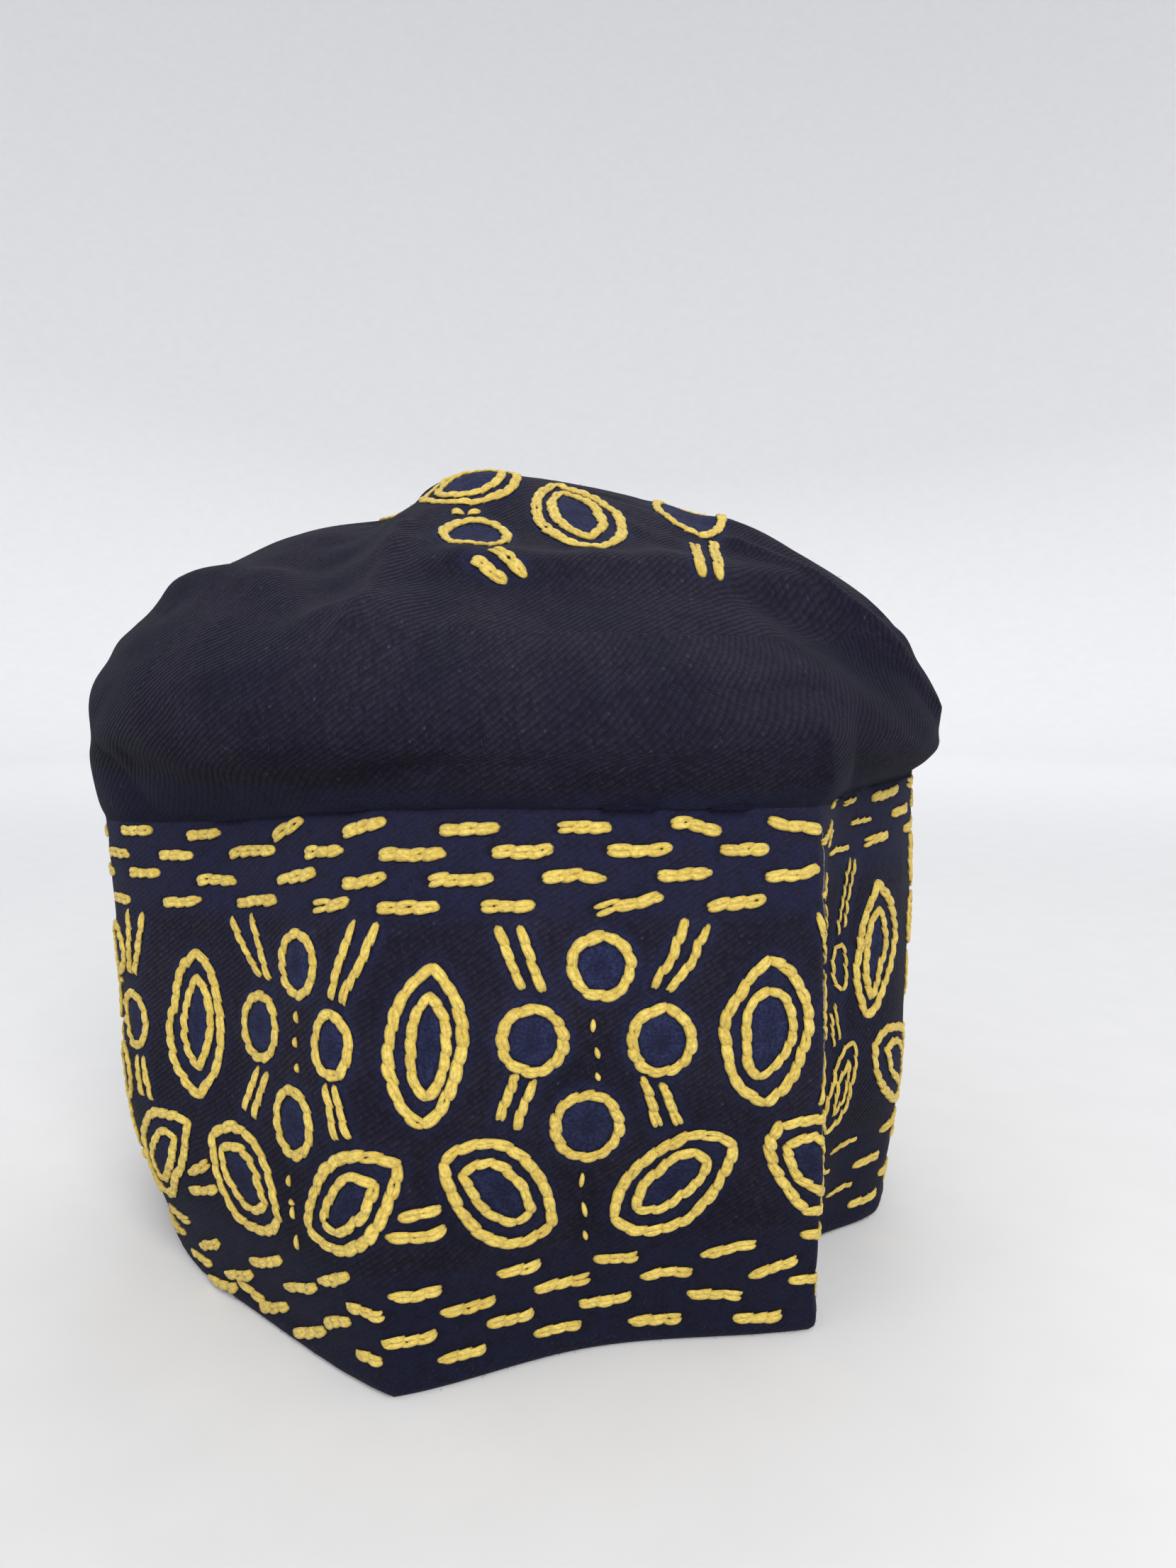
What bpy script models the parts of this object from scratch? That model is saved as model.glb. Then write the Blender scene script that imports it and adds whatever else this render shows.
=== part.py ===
"""An embroidered soft cap standing on its hem: a stiff stitched side wall, a soft
ballooning crown side above it and a round crown top. Metres, +Z up, origin on the
surface it rests on, under the middle of the cap. The front of the cap faces -Y."""

import bpy
import bmesh
import numpy as np

MM = 0.001

# Driving dimensions. The wall's corners below make it about 580 mm round.
BAND_HEIGHT = 104 * MM
BAND_WALL = 2.2 * MM
CROWN_WALL = 1.6 * MM
SEAM_GAP = 0.3 * MM
CROWN_OVERHANG = 2.5 * MM
# Moves the cap from the corners' own centre to the middle of its box
MIDDLE_SHIFT = (1.8 * MM, -0.5 * MM, 0)

# The stitched pattern repeats ten times round the wall. A place on the cap is counted in
# repeats, counterclockwise from the middle of the repeat's big leaf.
REPEATS = 10
FRONT_CREASE_AT = 0.81
START_BEARING = -136.0
BEARING_PER_REPEAT = 360.0 / REPEATS

# Grid of the solids, and the small steps over which a surface's slopes are taken
COLUMNS = 100
BAND_ROWS = 6
CROWN_SIDE_ROWS = 7
CROWN_TOP_ROWS = 14
CURVE_STEPS = 40
SLOPE_PLACE = 0.01
SLOPE_HEIGHT = 0.5 * MM
SLOPE_ROW = 0.05

# The side wall's corners, counterclockwise from the front crease, in millimetres.
# The four places are at the four heights of WALL_LEVELS. Roundness is 0 at a sharp
# fold and 1 on a smooth curve, at the hem and at the top.
WALL_LEVELS = (0, 34, 68, 104)
WALL_CORNERS = (
    # name, place at the hem, low, middle, top, roundness at hem, at top, drop at the top
    ("front crease", (-20, -95), (-23, -96), (-25, -91), (-24, -83), 0.25, 0.9, 2),
    ("front face", (15, -80), (14, -85), (14, -92), (14, -93), 1.0, 1.0, 0.5),
    ("right corner", (57, -74), (57, -78), (56, -81), (54, -83), 0.15, 0.5, 1.5),
    ("right fold", (64, -40), (61, -58), (61, -55), (65, -59), 0.5, 1.0, 2),
    ("right panel", (80, -27), (83, -31), (83, -31), (83, -32), 0.8, 1.0, 1),
    ("right back", (86, 3), (89, 0), (90, -3), (90, -3), 1.0, 1.0, 0),
    ("back right", (70, 62), (70, 62), (69, 61), (68, 61), 0.6, 1.0, 1),
    ("back", (22, 94), (18, 93), (12, 91), (8, 90), 0.8, 1.0, 2),
    ("back left", (-34, 91), (-40, 86), (-46, 80), (-50, 76), 0.6, 1.0, 3),
    ("left back", (-79, 48), (-84, 42), (-87, 34), (-89, 26), 0.8, 1.0, 6),
    ("left", (-88, -2), (-92, -8), (-92, -12), (-92, -15), 1.0, 1.0, 10),
    ("left face", (-72, -45), (-79, -51), (-81, -49), (-84, -47), 1.0, 1.0, 9),
    ("left front", (-48, -71), (-51, -75), (-53, -68), (-55, -65), 1.0, 1.0, 6.5),
)

# The crown's sections, from its middle down to the wall, as (radius, height) in
# millimetres. The front has slumped, so it lies lower than the sides and the back.
CROWN_ROWS = ("peak", "inner", "middle", "outer", "seam", "upper side", "bulge", "tuck", "rim")
PEAK = (0, 170)
OUTER_ROW_LENGTH = 24 * MM
CROWN_SECTIONS = (
    # bearing, inner, middle, outer, seam, upper side, bulge, tuck, rim
    (-90, (20, 162.5), (38, 153), (56, 143.5), (77, 133), (90, 124), (95, 114), (95, 108), (93, 104)),
    (-45, (20, 164.5), (40, 156), (60, 146), (79, 133), (90, 123), (96, 113), (95, 107), (91, 103)),
    (0, (20, 167), (40, 161.5), (61, 154.5), (84, 139), (90.5, 126), (94.5, 113), (94, 107), (90, 104)),
    (45, (20, 167.5), (40, 162), (62, 154), (85, 139), (93, 129), (97, 116), (95, 107), (91, 104)),
    (90, (20, 168), (40, 163), (62, 155), (86, 139), (93, 129), (97, 116), (95, 107), (92, 104)),
    (135, (22, 167), (35, 162), (61, 153), (85, 138), (93, 127), (97, 115), (95, 106), (92, 103)),
    (180, (23, 167.5), (33, 162.5), (60, 155), (86, 139.5), (94, 129), (98.5, 115), (96, 105), (92, 98)),
    (-135, (20, 165.5), (40, 157), (60, 148), (83, 136), (94, 126), (98.5, 114), (96, 105), (92, 98)),
)

# Folds and dents of the crown: soft ridges, or with a rise below 0 grooves. A place on
# a fold is a bearing in degrees and a number of rows down from the peak.
CROWN_FOLDS = (
    # name, places, half width and rise in millimetres
    ("medallion swell", ((-175, 0.8), (-120, 0.7)), 9, 2.5),
    ("left ridge", ((-148, 1.7), (-119, 2.7), (-108, 4.0)), 8, 3.5),
    ("left cliff", ((-163, 1.7), (-132, 2.9), (-117, 4.0)), 10, -5.5),
    ("left lip", ((-158, 3.7), (-136, 3.4), (-116, 3.9)), 7, 3.0),
    ("right ridge", ((-16, 2.4), (-22, 3.3), (-24, 4.0), (-16, 5.5)), 6, 2.0),
    ("right hollow", ((-42, 3.4), (-36, 4.4)), 12, -3.5),
    ("front lip", ((-101, 2.8), (-80, 2.8), (-62, 2.9), (-32, 3.4)), 7, 3.0),
    ("front groove", ((-106, 7.0), (-92, 6.1), (-72, 5.9)), 5, -4.0),
    ("front swell", ((-88, 6.9), (-72, 6.9)), 6, 2.5),
    ("left groove", ((-150, 7.2), (-112, 7.0)), 6, -3.0),
    ("back dent", ((70, 2.6), (108, 3.3)), 16, -5.0),
    ("back fold", ((128, 2.2), (150, 4.6)), 9, 4.0),
    ("right back dent", ((22, 3.2), (32, 4.8)), 12, -4.0),
)


def hermite(p1, p2, m1, m2, t):
    h1 = 2 * t**3 - 3 * t**2 + 1
    h2 = -2 * t**3 + 3 * t**2
    h3 = t**3 - 2 * t**2 + t
    h4 = t**3 - t**2
    return h1 * p1 + h2 * p2 + h3 * m1 + h4 * m2


def unit(v):
    return v / np.linalg.norm(v, axis=-1, keepdims=True)


def smooth_step(t):
    t = np.clip(t, 0, 1)
    return t**2 * (3 - 2 * t)


def wall_outline(level):
    """One level's closed outline: (pattern places, points), evenly stretched to REPEATS."""
    roundness = [
        row[5] + (row[6] - row[5]) * level / (len(WALL_LEVELS) - 1) for row in WALL_CORNERS
    ]
    top = WALL_LEVELS[-1]
    share = WALL_LEVELS[level] / top
    corners = [(*row[1 + level], share * (top - row[7])) for row in WALL_CORNERS]
    corners = np.array(corners, float) * MM
    chords = np.roll(corners, -1, axis=0) - corners
    lengths = np.linalg.norm(chords, axis=1)
    ways = unit(chords)
    tangents = unit(unit(ways + np.roll(ways, 1, axis=0)))
    t = np.linspace(0, 1, CURVE_STEPS, endpoint=False)[:, None]
    points = []
    for i, length in enumerate(lengths):
        j = (i + 1) % len(corners)
        start = length * (roundness[i] * tangents[i] + (1 - roundness[i]) * ways[i])
        end = length * (roundness[j] * tangents[j] + (1 - roundness[j]) * ways[i])
        points.append(hermite(corners[i], corners[j], start, end, t))
    points = np.concatenate(points + [corners[:1]])
    run = np.concatenate([[0], np.cumsum(np.linalg.norm(np.diff(points, axis=0), axis=1))])
    return run / run[-1] * REPEATS, points


WALL_OUTLINES = [wall_outline(level) for level in range(len(WALL_LEVELS))]


def wall(place, height):
    """Outer surface of the side wall. place counts repeats round the cap."""
    turn = np.mod(np.asarray(place, float) - FRONT_CREASE_AT, REPEATS)
    levels = [
        np.stack([np.interp(turn, run, points[:, axis]) for axis in range(3)], axis=-1)
        for run, points in WALL_OUTLINES
    ]
    levels = [2 * levels[0] - levels[1], *levels, 2 * levels[-1] - levels[-2]]
    at = np.interp(height, np.array(WALL_LEVELS) * MM, range(len(WALL_LEVELS)))
    low = np.clip(np.floor(at).astype(int), 0, len(WALL_LEVELS) - 2)
    t = (at - low)[..., None]
    stack = np.stack(levels)
    before, here, after, beyond = (
        np.take_along_axis(stack, (low + k)[None, ..., None], axis=0)[0] for k in range(4)
    )
    return hermite(here, after, (after - before) / 2, (beyond - here) / 2, t)


def crown_base(bearing, row):
    """The crown's plain surface, before its folds. row counts down from the peak."""
    turn = np.mod(np.asarray(bearing, float) - CROWN_SECTIONS[0][0], 360) / SECTION_ANGLE
    low = np.floor(turn).astype(int)
    t = (turn - low)[..., None]
    count = len(CROWN_SECTIONS)
    p0, p1, p2, p3 = (
        profile_at(np.mod(low + k, count), np.clip(row, 0, len(CROWN_ROWS) - 1)) for k in (-1, 0, 1, 2)
    )
    ring = hermite(p1, p2, (p2 - p0) / 2, (p3 - p1) / 2, t)
    angle = np.radians(bearing)
    return np.stack([ring[..., 0] * np.cos(angle), ring[..., 0] * np.sin(angle), ring[..., 1]], axis=-1)


def profile_at(section, row):
    """Radius and height of numbered sections at fractional rows, on a smooth curve."""
    low = np.clip(np.floor(row).astype(int), 0, len(CROWN_ROWS) - 2)
    t = (row - low)[..., None]
    p0, p1, p2, p3 = (PROFILES[section, low + k] for k in range(4))
    return hermite(p1, p2, (p2 - p0) / 2, (p3 - p1) / 2, t)


def padded_profiles():
    """Every section's points, with one more at each end so that the curve runs on smoothly."""
    rows = []
    for _, *points in CROWN_SECTIONS:
        points = np.array([PEAK, *points], float) * MM
        before = points[1] * (-1, 1)
        beyond = 2 * points[-1] - points[-2]
        rows.append([before, *points, beyond])
    return np.array(rows)


SECTION_ANGLE = 360 / len(CROWN_SECTIONS)
PROFILES = padded_profiles()
SEAM_ROW = CROWN_ROWS.index("seam")
UPPER_SIDE_ROW = CROWN_ROWS.index("upper side")
TUCK_START_ROW = CROWN_ROWS.index("tuck") - 0.5
RIM_ROW = CROWN_ROWS.index("rim")
SEAM_GAP_ROWS = SEAM_GAP / OUTER_ROW_LENGTH


def fold_rise(points):
    """How far the folds lift the crown's cloth at points of its plain surface."""
    total = np.zeros(points.shape[:-1])
    for _, places, width, rise in CROWN_FOLDS:
        bearings, rows = np.array(places, float).T
        line = crown_base(bearings, rows)
        gap = np.full_like(total, np.inf)
        for a, b in zip(line[:-1], line[1:]):
            t = np.clip((points - a) @ (b - a) / ((b - a) @ (b - a)), 0, 1)[..., None]
            gap = np.minimum(gap, np.linalg.norm(points - a - t * (b - a), axis=-1))
        total += rise * MM * np.exp(-((gap / (width * MM)) ** 2))
    return total


def crown(place, row):
    """Outer surface of the crown. place counts repeats, row counts rows down from the peak."""
    place = np.asarray(place, float)
    row = np.asarray(row, float)
    bearing = START_BEARING + BEARING_PER_REPEAT * place
    base = crown_base(bearing, row)
    below, above = row + SLOPE_ROW, np.maximum(row - SLOPE_ROW, 0)
    down = crown_base(bearing, below) - crown_base(bearing, above)
    off_peak = np.maximum(row, SLOPE_ROW)
    across = crown_base(bearing + 1, off_peak) - crown_base(bearing - 1, off_peak)
    balloon = base + fold_rise(base)[..., None] * unit(np.cross(down, across))
    rim = wall(place, np.full_like(place, BAND_HEIGHT))
    rim[..., 2] += SEAM_GAP
    # Where the wall's corners stand out, the crown swells to stay outside them
    radius = np.hypot(balloon[..., 0], balloon[..., 1])
    short = np.hypot(rim[..., 0], rim[..., 1]) + CROWN_OVERHANG - radius
    swell = np.maximum(short, 0) * smooth_step(row - UPPER_SIDE_ROW)
    balloon[..., :2] *= (1 + swell / np.maximum(radius, MM))[..., None]
    # Under the bulge the cloth turns in to the top of the wall
    tuck = smooth_step((row - TUCK_START_ROW) / (RIM_ROW - TUCK_START_ROW))[..., None]
    points = balloon * (1 - tuck) + rim * tuck
    points[..., 2] = np.maximum(points[..., 2], rim[..., 2])
    return points


def clear_scene():
    for obj in list(bpy.data.objects):
        bpy.data.objects.remove(obj, do_unlink=True)


def cloth_material(name, colour, roughness):
    material = bpy.data.materials.new(name)
    material.use_nodes = True
    shader = material.node_tree.nodes["Principled BSDF"]
    shader.inputs["Base Color"].default_value = (*colour, 1)
    shader.inputs["Roughness"].default_value = roughness
    shader.inputs["Metallic"].default_value = 0.0
    return material


def ring_places():
    """Where the grids' columns stand, one of them on the front crease."""
    return FRONT_CREASE_AT + np.arange(COLUMNS) / COLUMNS * REPEATS


def shell(name, outer, inner, material, closed_end=False):
    """A closed shell between two grids of rings. closed_end closes the last ring to a point."""
    bm = bmesh.new()
    rings = []
    for grid in (outer, inner):
        rows = [[bm.verts.new(p) for p in ring] for ring in (grid[:-1] if closed_end else grid)]
        if closed_end:
            rows.append([bm.verts.new(grid[-1].mean(axis=0))])
        rings.append(rows)
    for side, rows in enumerate(rings):
        for low, high in zip(rows[:-1], rows[1:]):
            for i in range(len(low)):
                j = (i + 1) % len(low)
                if len(high) == 1:
                    face = [low[i], low[j], high[0]]
                else:
                    face = [low[i], low[j], high[j], high[i]]
                bm.faces.new(face if side == 0 else face[::-1])
    ends = [0] if closed_end else [0, -1]
    for end in ends:
        first, second = rings[0][end], rings[1][end]
        for i in range(len(first)):
            j = (i + 1) % len(first)
            face = [first[j], first[i], second[i], second[j]]
            bm.faces.new(face if end == 0 else face[::-1])
    bmesh.ops.recalc_face_normals(bm, faces=bm.faces)
    mesh = bpy.data.meshes.new(name)
    bm.to_mesh(mesh)
    bm.free()
    mesh.shade_smooth()
    mesh.materials.append(material)
    obj = bpy.data.objects.new(name, mesh)
    obj.location = MIDDLE_SHIFT
    bpy.context.scene.collection.objects.link(obj)
    return obj


def outward(surface, place, along, step):
    """Outward unit normals of wall() or crown() at grid points. step runs up the cap."""
    round_way = surface(place + SLOPE_PLACE, along) - surface(place - SLOPE_PLACE, along)
    profile_way = surface(place, along + step) - surface(place, along - step)
    return unit(np.cross(round_way, profile_way))


def make_band():
    heights = np.linspace(0, BAND_HEIGHT, BAND_ROWS + 1)
    place, height = np.meshgrid(ring_places(), heights)
    outer = wall(place, height)
    inside = np.clip(height, SLOPE_HEIGHT, BAND_HEIGHT - SLOPE_HEIGHT)
    normals = outward(wall, place, inside, SLOPE_HEIGHT)
    normals[..., 2] = 0
    inner = outer - BAND_WALL * unit(normals)
    return shell("band", outer, inner, cloth_material("band_cloth", (0.012, 0.014, 0.035), 0.95))


def make_crown_side():
    rows = np.linspace(RIM_ROW, SEAM_ROW, CROWN_SIDE_ROWS + 1)
    place, row = np.meshgrid(ring_places(), rows)
    outer = crown(place, row)
    normals = outward(crown, place, np.minimum(row, RIM_ROW - SLOPE_ROW), -SLOPE_ROW)
    normals[0, :, 2] = 0
    inner = outer - CROWN_WALL * unit(normals)
    return shell("crown_side", outer, inner, cloth_material("crown_cloth", (0.016, 0.015, 0.03), 0.95))


def make_crown_top():
    rows = np.linspace(SEAM_ROW - SEAM_GAP_ROWS, 0, CROWN_TOP_ROWS + 1)
    place, row = np.meshgrid(ring_places(), rows)
    outer = crown(place, row)
    normals = outward(crown, place, np.maximum(row, 2 * SLOPE_ROW), -SLOPE_ROW)
    inner = outer - CROWN_WALL * normals
    cloth = cloth_material("crown_top_cloth", (0.018, 0.018, 0.035), 0.95)
    return shell("crown_top", outer, inner, cloth, closed_end=True)


def main():
    clear_scene()
    make_band()
    make_crown_side()
    make_crown_top()


main()
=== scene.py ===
"""The embroidered cap's finish: its cloth as fine walls with their folds and seams, the chain
stitched pattern as yarn, and a pale studio around it. Metres, +Z up, in the model's frame."""

import math

import bpy
import numpy as np
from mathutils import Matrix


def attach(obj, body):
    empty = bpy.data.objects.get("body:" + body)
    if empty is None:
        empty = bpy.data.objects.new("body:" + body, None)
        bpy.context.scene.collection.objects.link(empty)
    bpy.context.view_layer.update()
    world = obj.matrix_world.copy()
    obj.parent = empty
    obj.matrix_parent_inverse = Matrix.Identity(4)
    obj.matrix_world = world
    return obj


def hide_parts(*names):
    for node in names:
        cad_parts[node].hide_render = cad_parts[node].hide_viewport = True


MM = 0.001

# The cap's dimensions, as in the solids
BAND_HEIGHT = 104 * MM
BAND_WALL = 2.2 * MM
CROWN_WALL = 1.6 * MM
SEAM_OVERLAP = 0.1 * MM
CROWN_OVERHANG = 2.5 * MM
MIDDLE_SHIFT = np.array([1.8, -0.5, 0]) * MM
REPEATS = 10
FRONT_CREASE_AT = 0.81
START_BEARING = -136.0
BEARING_PER_REPEAT = 360.0 / REPEATS
REPEAT_MM = 58.0
# Round the cap and up its wall, in millimetres
AROUND, BAND_TOP = REPEATS * REPEAT_MM, BAND_HEIGHT / MM
CURVE_STEPS = 40
SLOPE_ROW = 0.05

WALL_LEVELS = (0, 34, 68, 104)
WALL_CORNERS = (
    # name, place at the hem, low, middle, top, roundness at hem, at top, drop at the top
    ("front crease", (-20, -95), (-23, -96), (-25, -91), (-24, -83), 0.25, 0.9, 2),
    ("front face", (15, -80), (14, -85), (14, -92), (14, -93), 1.0, 1.0, 0.5),
    ("right corner", (57, -74), (57, -78), (56, -81), (54, -83), 0.15, 0.5, 1.5),
    ("right fold", (63, -40), (58.5, -58), (58.5, -55), (64, -59), 0.5, 1.0, 2),
    ("right panel", (80, -27), (83, -31), (83, -31), (83, -32), 0.8, 1.0, 1),
    ("right back", (86, 3), (89, 0), (90, -3), (90, -3), 1.0, 1.0, 0),
    ("back right", (70, 62), (70, 62), (69, 61), (68, 61), 0.6, 1.0, 1),
    ("back", (22, 94), (18, 93), (12, 91), (8, 90), 0.8, 1.0, 2),
    ("back left", (-34, 91), (-40, 86), (-46, 80), (-50, 76), 0.6, 1.0, 3),
    ("left back", (-79, 48), (-84, 42), (-87, 34), (-89, 26), 0.8, 1.0, 6),
    ("left", (-88, -2), (-92, -8), (-92, -12), (-92, -15), 1.0, 1.0, 10),
    ("left face", (-72, -45), (-79, -51), (-81, -49), (-84, -47), 1.0, 1.0, 9),
    ("left front", (-48, -71), (-51, -75), (-53, -68), (-55, -65), 1.0, 1.0, 6.5),
)

CROWN_ROWS = ("peak", "inner", "middle", "outer", "seam", "upper side", "bulge", "tuck", "rim")
PEAK = (0, 170)
CROWN_SECTIONS = (
    # bearing, inner, middle, outer, seam, upper side, bulge, tuck, rim
    (-90, (20, 162.5), (38, 153), (56, 143.5), (77, 133), (90, 124), (95, 114), (95, 108), (93, 104)),
    (-45, (20, 164.5), (40, 156), (60, 146), (79, 133), (90, 123), (96, 113), (95, 107), (91, 103)),
    (0, (20, 167), (40, 161.5), (61, 154.5), (84, 139), (90.5, 126), (94.5, 113), (94, 107), (90, 104)),
    (45, (20, 167.5), (40, 162), (62, 154), (85, 139), (93, 129), (97, 116), (95, 107), (91, 104)),
    (90, (20, 168), (40, 163), (62, 155), (86, 139), (93, 129), (97, 116), (95, 107), (92, 104)),
    (135, (22, 167), (35, 162), (61, 153), (85, 138), (93, 127), (97, 115), (95, 106), (92, 103)),
    (180, (23, 167.5), (33, 162.5), (60, 155), (86, 139.5), (94, 129), (98.5, 115), (96, 105), (92, 98)),
    (-135, (20, 165.5), (40, 157), (60, 148), (83, 136), (94, 126), (98.5, 114), (96, 105), (92, 98)),
)

# The solids' folds, a few of them softened as the cloth drapes, then the cloth's finer ones
CROWN_FOLDS = (
    # name, places as (bearing, row), half width and rise in millimetres
    ("medallion swell", ((-175, 0.8), (-120, 0.7)), 9, 2.5),
    ("left ridge", ((-148, 1.7), (-119, 2.7), (-108, 4.0)), 9, 3.0),
    ("left cliff", ((-163, 1.7), (-132, 2.9), (-120, 3.6)), 11, -4.0),
    ("left lip", ((-158, 3.7), (-136, 3.4), (-116, 3.9)), 7, 3.0),
    ("right ridge", ((-16, 2.4), (-22, 3.3), (-24, 4.0), (-16, 5.5)), 6, 2.0),
    ("right hollow", ((-42, 3.4), (-36, 4.4)), 12, -3.5),
    ("front lip", ((-101, 2.8), (-80, 2.8), (-62, 2.9), (-32, 3.4)), 7, 3.0),
    ("front groove", ((-106, 7.0), (-92, 6.1), (-72, 5.9)), 5, -4.0),
    ("front swell", ((-88, 6.9), (-72, 6.9)), 6, 2.5),
    ("left groove", ((-150, 7.2), (-112, 7.0)), 6, -3.0),
    ("back dent", ((70, 2.6), (108, 3.3)), 16, -5.0),
    ("back fold", ((128, 2.2), (150, 4.6)), 9, 4.0),
    ("right back dent", ((22, 3.2), (32, 4.8)), 12, -4.0),
)
FINE_FOLDS = (
    ("left crest", ((-125, 2.2), (-114, 3.2), (-110, 4.2)), 2.5, 1.4),
    ("right crease", ((-30, 2.6), (-27, 3.6), (-25, 4.6), (-20, 5.6)), 2.2, 1.5),
    ("groove edge", ((-108, 6.7), (-92, 5.8), (-70, 5.7)), 2.0, 0.8),
    ("groove bottom", ((-112, 7.2), (-94, 6.3), (-70, 6.1)), 2.2, -1.0),
    ("right pinch", ((-60, 6.6), (-57, 7.4)), 3.0, -1.8),
    ("left pinch", ((-140, 6.6), (-124, 7.1)), 3.0, -1.2),
)

# The cloth's grids: columns round the cap, rows up each wall, and rows on its inner side
BAND_COLUMNS, BAND_ROWS, BAND_INNER_ROWS = 600, 84, 10
SIDE_COLUMNS, SIDE_ROWS, SIDE_INNER_ROWS = 520, 56, 8
TOP_COLUMNS, TOP_ROWS, TOP_INNER_ROWS = 420, 78, 8
MAP_STEP = 0.5
# How near a wall's cut edge its next row lies, in millimetres and in crown rows
EDGE_STEP, EDGE_ROW = 0.12, 0.012
# Above this height the crown hangs over the wall, and no dash is sewn
TOP_STITCH_HEIGHT = 103

# Rows of dashes, in millimetres: those charted as (start, end, height at start, height at end).
# Round the rest of the cap each row runs on evenly at its own height.
UPPER_DASHES = (
    # height, charted dashes
    (87.0, ((-8, 2, 87, 87.5), (12, 24, 87.5, 88), (34, 42.5, 87.5, 87.5), (48.5, 60, 87.2, 87.2),
            (67.5, 77, 87.5, 87.5), (86.5, 98, 87, 88.5), (106, 117, 87, 87.8),
            (154, 163, 86.5, 86.5), (169.5, 179, 86.6, 87))),
    (91.8, ((-17.5, -8, 93, 93), (1.5, 12, 91.5, 91.7), (24, 34.5, 92, 92.7), (41, 50.5, 91.5, 92),
            (58, 70, 92, 92), (78, 88.5, 92.5, 92.3), (97.5, 107, 92.5, 92.8), (117, 128, 92.2, 92.5),
            (161.5, 170.5, 92, 91.5), (179.5, 190, 91.5, 91.2))),
    (96.4, ((-8, 1, 96.8, 96.8), (10.5, 24, 97, 97.5), (31.5, 41, 97, 97), (48.5, 61, 96.3, 96.3),
            (69.5, 80, 96.8, 96.8), (89, 100, 97, 97), (108.5, 118, 96.8, 96.8),
            (154.5, 161.5, 96.9, 96.9), (168.5, 181, 96.5, 96.5))),
    (100.7, ((-19, -9, 102.3, 102.3), (0, 9, 100.7, 101.2), (23, 31.5, 100, 102.2), (40.5, 50, 100, 101.5),
             (60, 71, 100.5, 100.5), (80.5, 90, 100.8, 100.8), (100, 109, 101.5, 100),
             (117.5, 129, 101.8, 100.2))),
)
LOWER_DASHES = (
    (5.6, ((21, 32, 3.7, 7.7), (40, 46.5, 7, 7), (56.5, 65.5, 6, 6), (74.5, 84, 6, 6),
           (93, 103, 5.4, 5.4), (112.5, 122.5, 4.8, 4.8), (173.5, 183.5, 5.6, 5.6))),
    (9.8, ((-10, 1.5, 2.6, 4.2), (9.5, 20, 4.2, 7.8), (31.5, 40, 10, 13), (47, 57, 11.2, 11.2),
           (65.5, 75, 10.8, 10.8), (83.5, 93.5, 10.6, 10.6), (104.5, 114.5, 10.4, 9.2),
           (123, 130, 12, 11.5), (164, 173, 9.7, 9.7))),
    (15.0, ((-2, 9, 7, 10.5), (21, 32, 13.5, 16.8), (39.5, 48.5, 16.3, 16.3), (58, 68, 15.2, 15.2),
            (75.5, 86, 15.5, 15.5), (95, 105, 14.9, 14.9), (115.5, 125, 14, 16.4),
            (151.5, 161.5, 17.5, 15.5), (171, 180.5, 14, 14))),
    (19.6, ((-10, -0.5, 10.5, 14.3), (9.7, 22, 14.5, 19), (32.7, 41.5, 19, 22.3), (49.5, 58.5, 19.7, 19.7),
            (69, 77, 20.2, 20.2), (86, 95, 19.2, 19.2), (106.5, 117, 19, 20.2), (125, 132, 21.6, 21.6),
            (160, 170, 19.8, 19.8))),
)
DASH_PITCH = REPEAT_MM / 3
DASH_LENGTH = 10.7
DASH_WIDTH = 2.35
DASH_LINK = 2.9

# Yarn: a link's length over the distance to the next link, its strand, and its rise along the link
LINK_OVERLAP = 1.32
STRAND, LEAST_STRAND_SHARE = 0.74, 2.9
STRAND_FLATNESS = 0.56
LINK_STEPS, LINK_SIDES = 16, 6
LINK_PROFILE = ((0, -0.35), (0.13, 0.24), (0.42, 0.42), (0.78, 0.32), (1.0, 0.0))
LINK_SPREAD = ((0, 0.8), (0.3, 0.9), (0.52, 1.0), (0.75, 1.12), (1.0, 1.0))
LINK_THICKNESS = ((0, 0.8), (0.3, 1.06), (0.52, 1.02), (0.8, 0.92), (1.0, 0.88))
FORK_SPREAD, FORK_THINNING, FORK_SHARE = 0.9, 0.35, 0.35
EYE_SHARE, EYE_AT, EYE_LENGTH, EYE_SPREAD, EYE_THINNING = 0.5, 0.7, 0.16, 0.3, 0.32
LINK_LEAN, SHARPEST_BEND, TIP_SHORTENING = 0.13, 0.7, 0.8
# How a link starts, and the small link that ends a row
POINTED, BLUNT, FORKED = 1.15, 0.8, 0.4
TAIL_LENGTHS, TAIL_WIDTH, TAIL_START, TAIL_RISE = (0.2, 0.45), 0.62, 1.0, 0.75
# Unevenness of the sewing: nodes in millimetres, a link's sizes, lean and rise as shares
NODE_JITTER, SIZE_JITTER, LEAN_JITTER, RISE_JITTER = 0.09, 0.05, 0.07, 0.08

# Soft waves in the cloth: turns round the cap and lengths up it, then count, height and seed on each part
RIPPLE_TURNS, RIPPLE_LENGTHS = (3, 40), (12, 45)
WALL_RIPPLES, HEM_RIPPLES, CROWN_RIPPLES = (24, 0.16, 3), (12, 0.12, 8), (30, 0.5, 4)

# On the right panel the pattern sits higher than elsewhere: where that begins and ends, and by how much
LIFT_FROM, LIFT_FULL, LIFT_BACK, LIFT_END = 128, 148, 215, 270
PANEL_LIFT = 5.0
LIFT_FULL_HEIGHT = 20.0
# Where on its round a ring's first link lies, in radians
RING_START = 0.4


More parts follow.
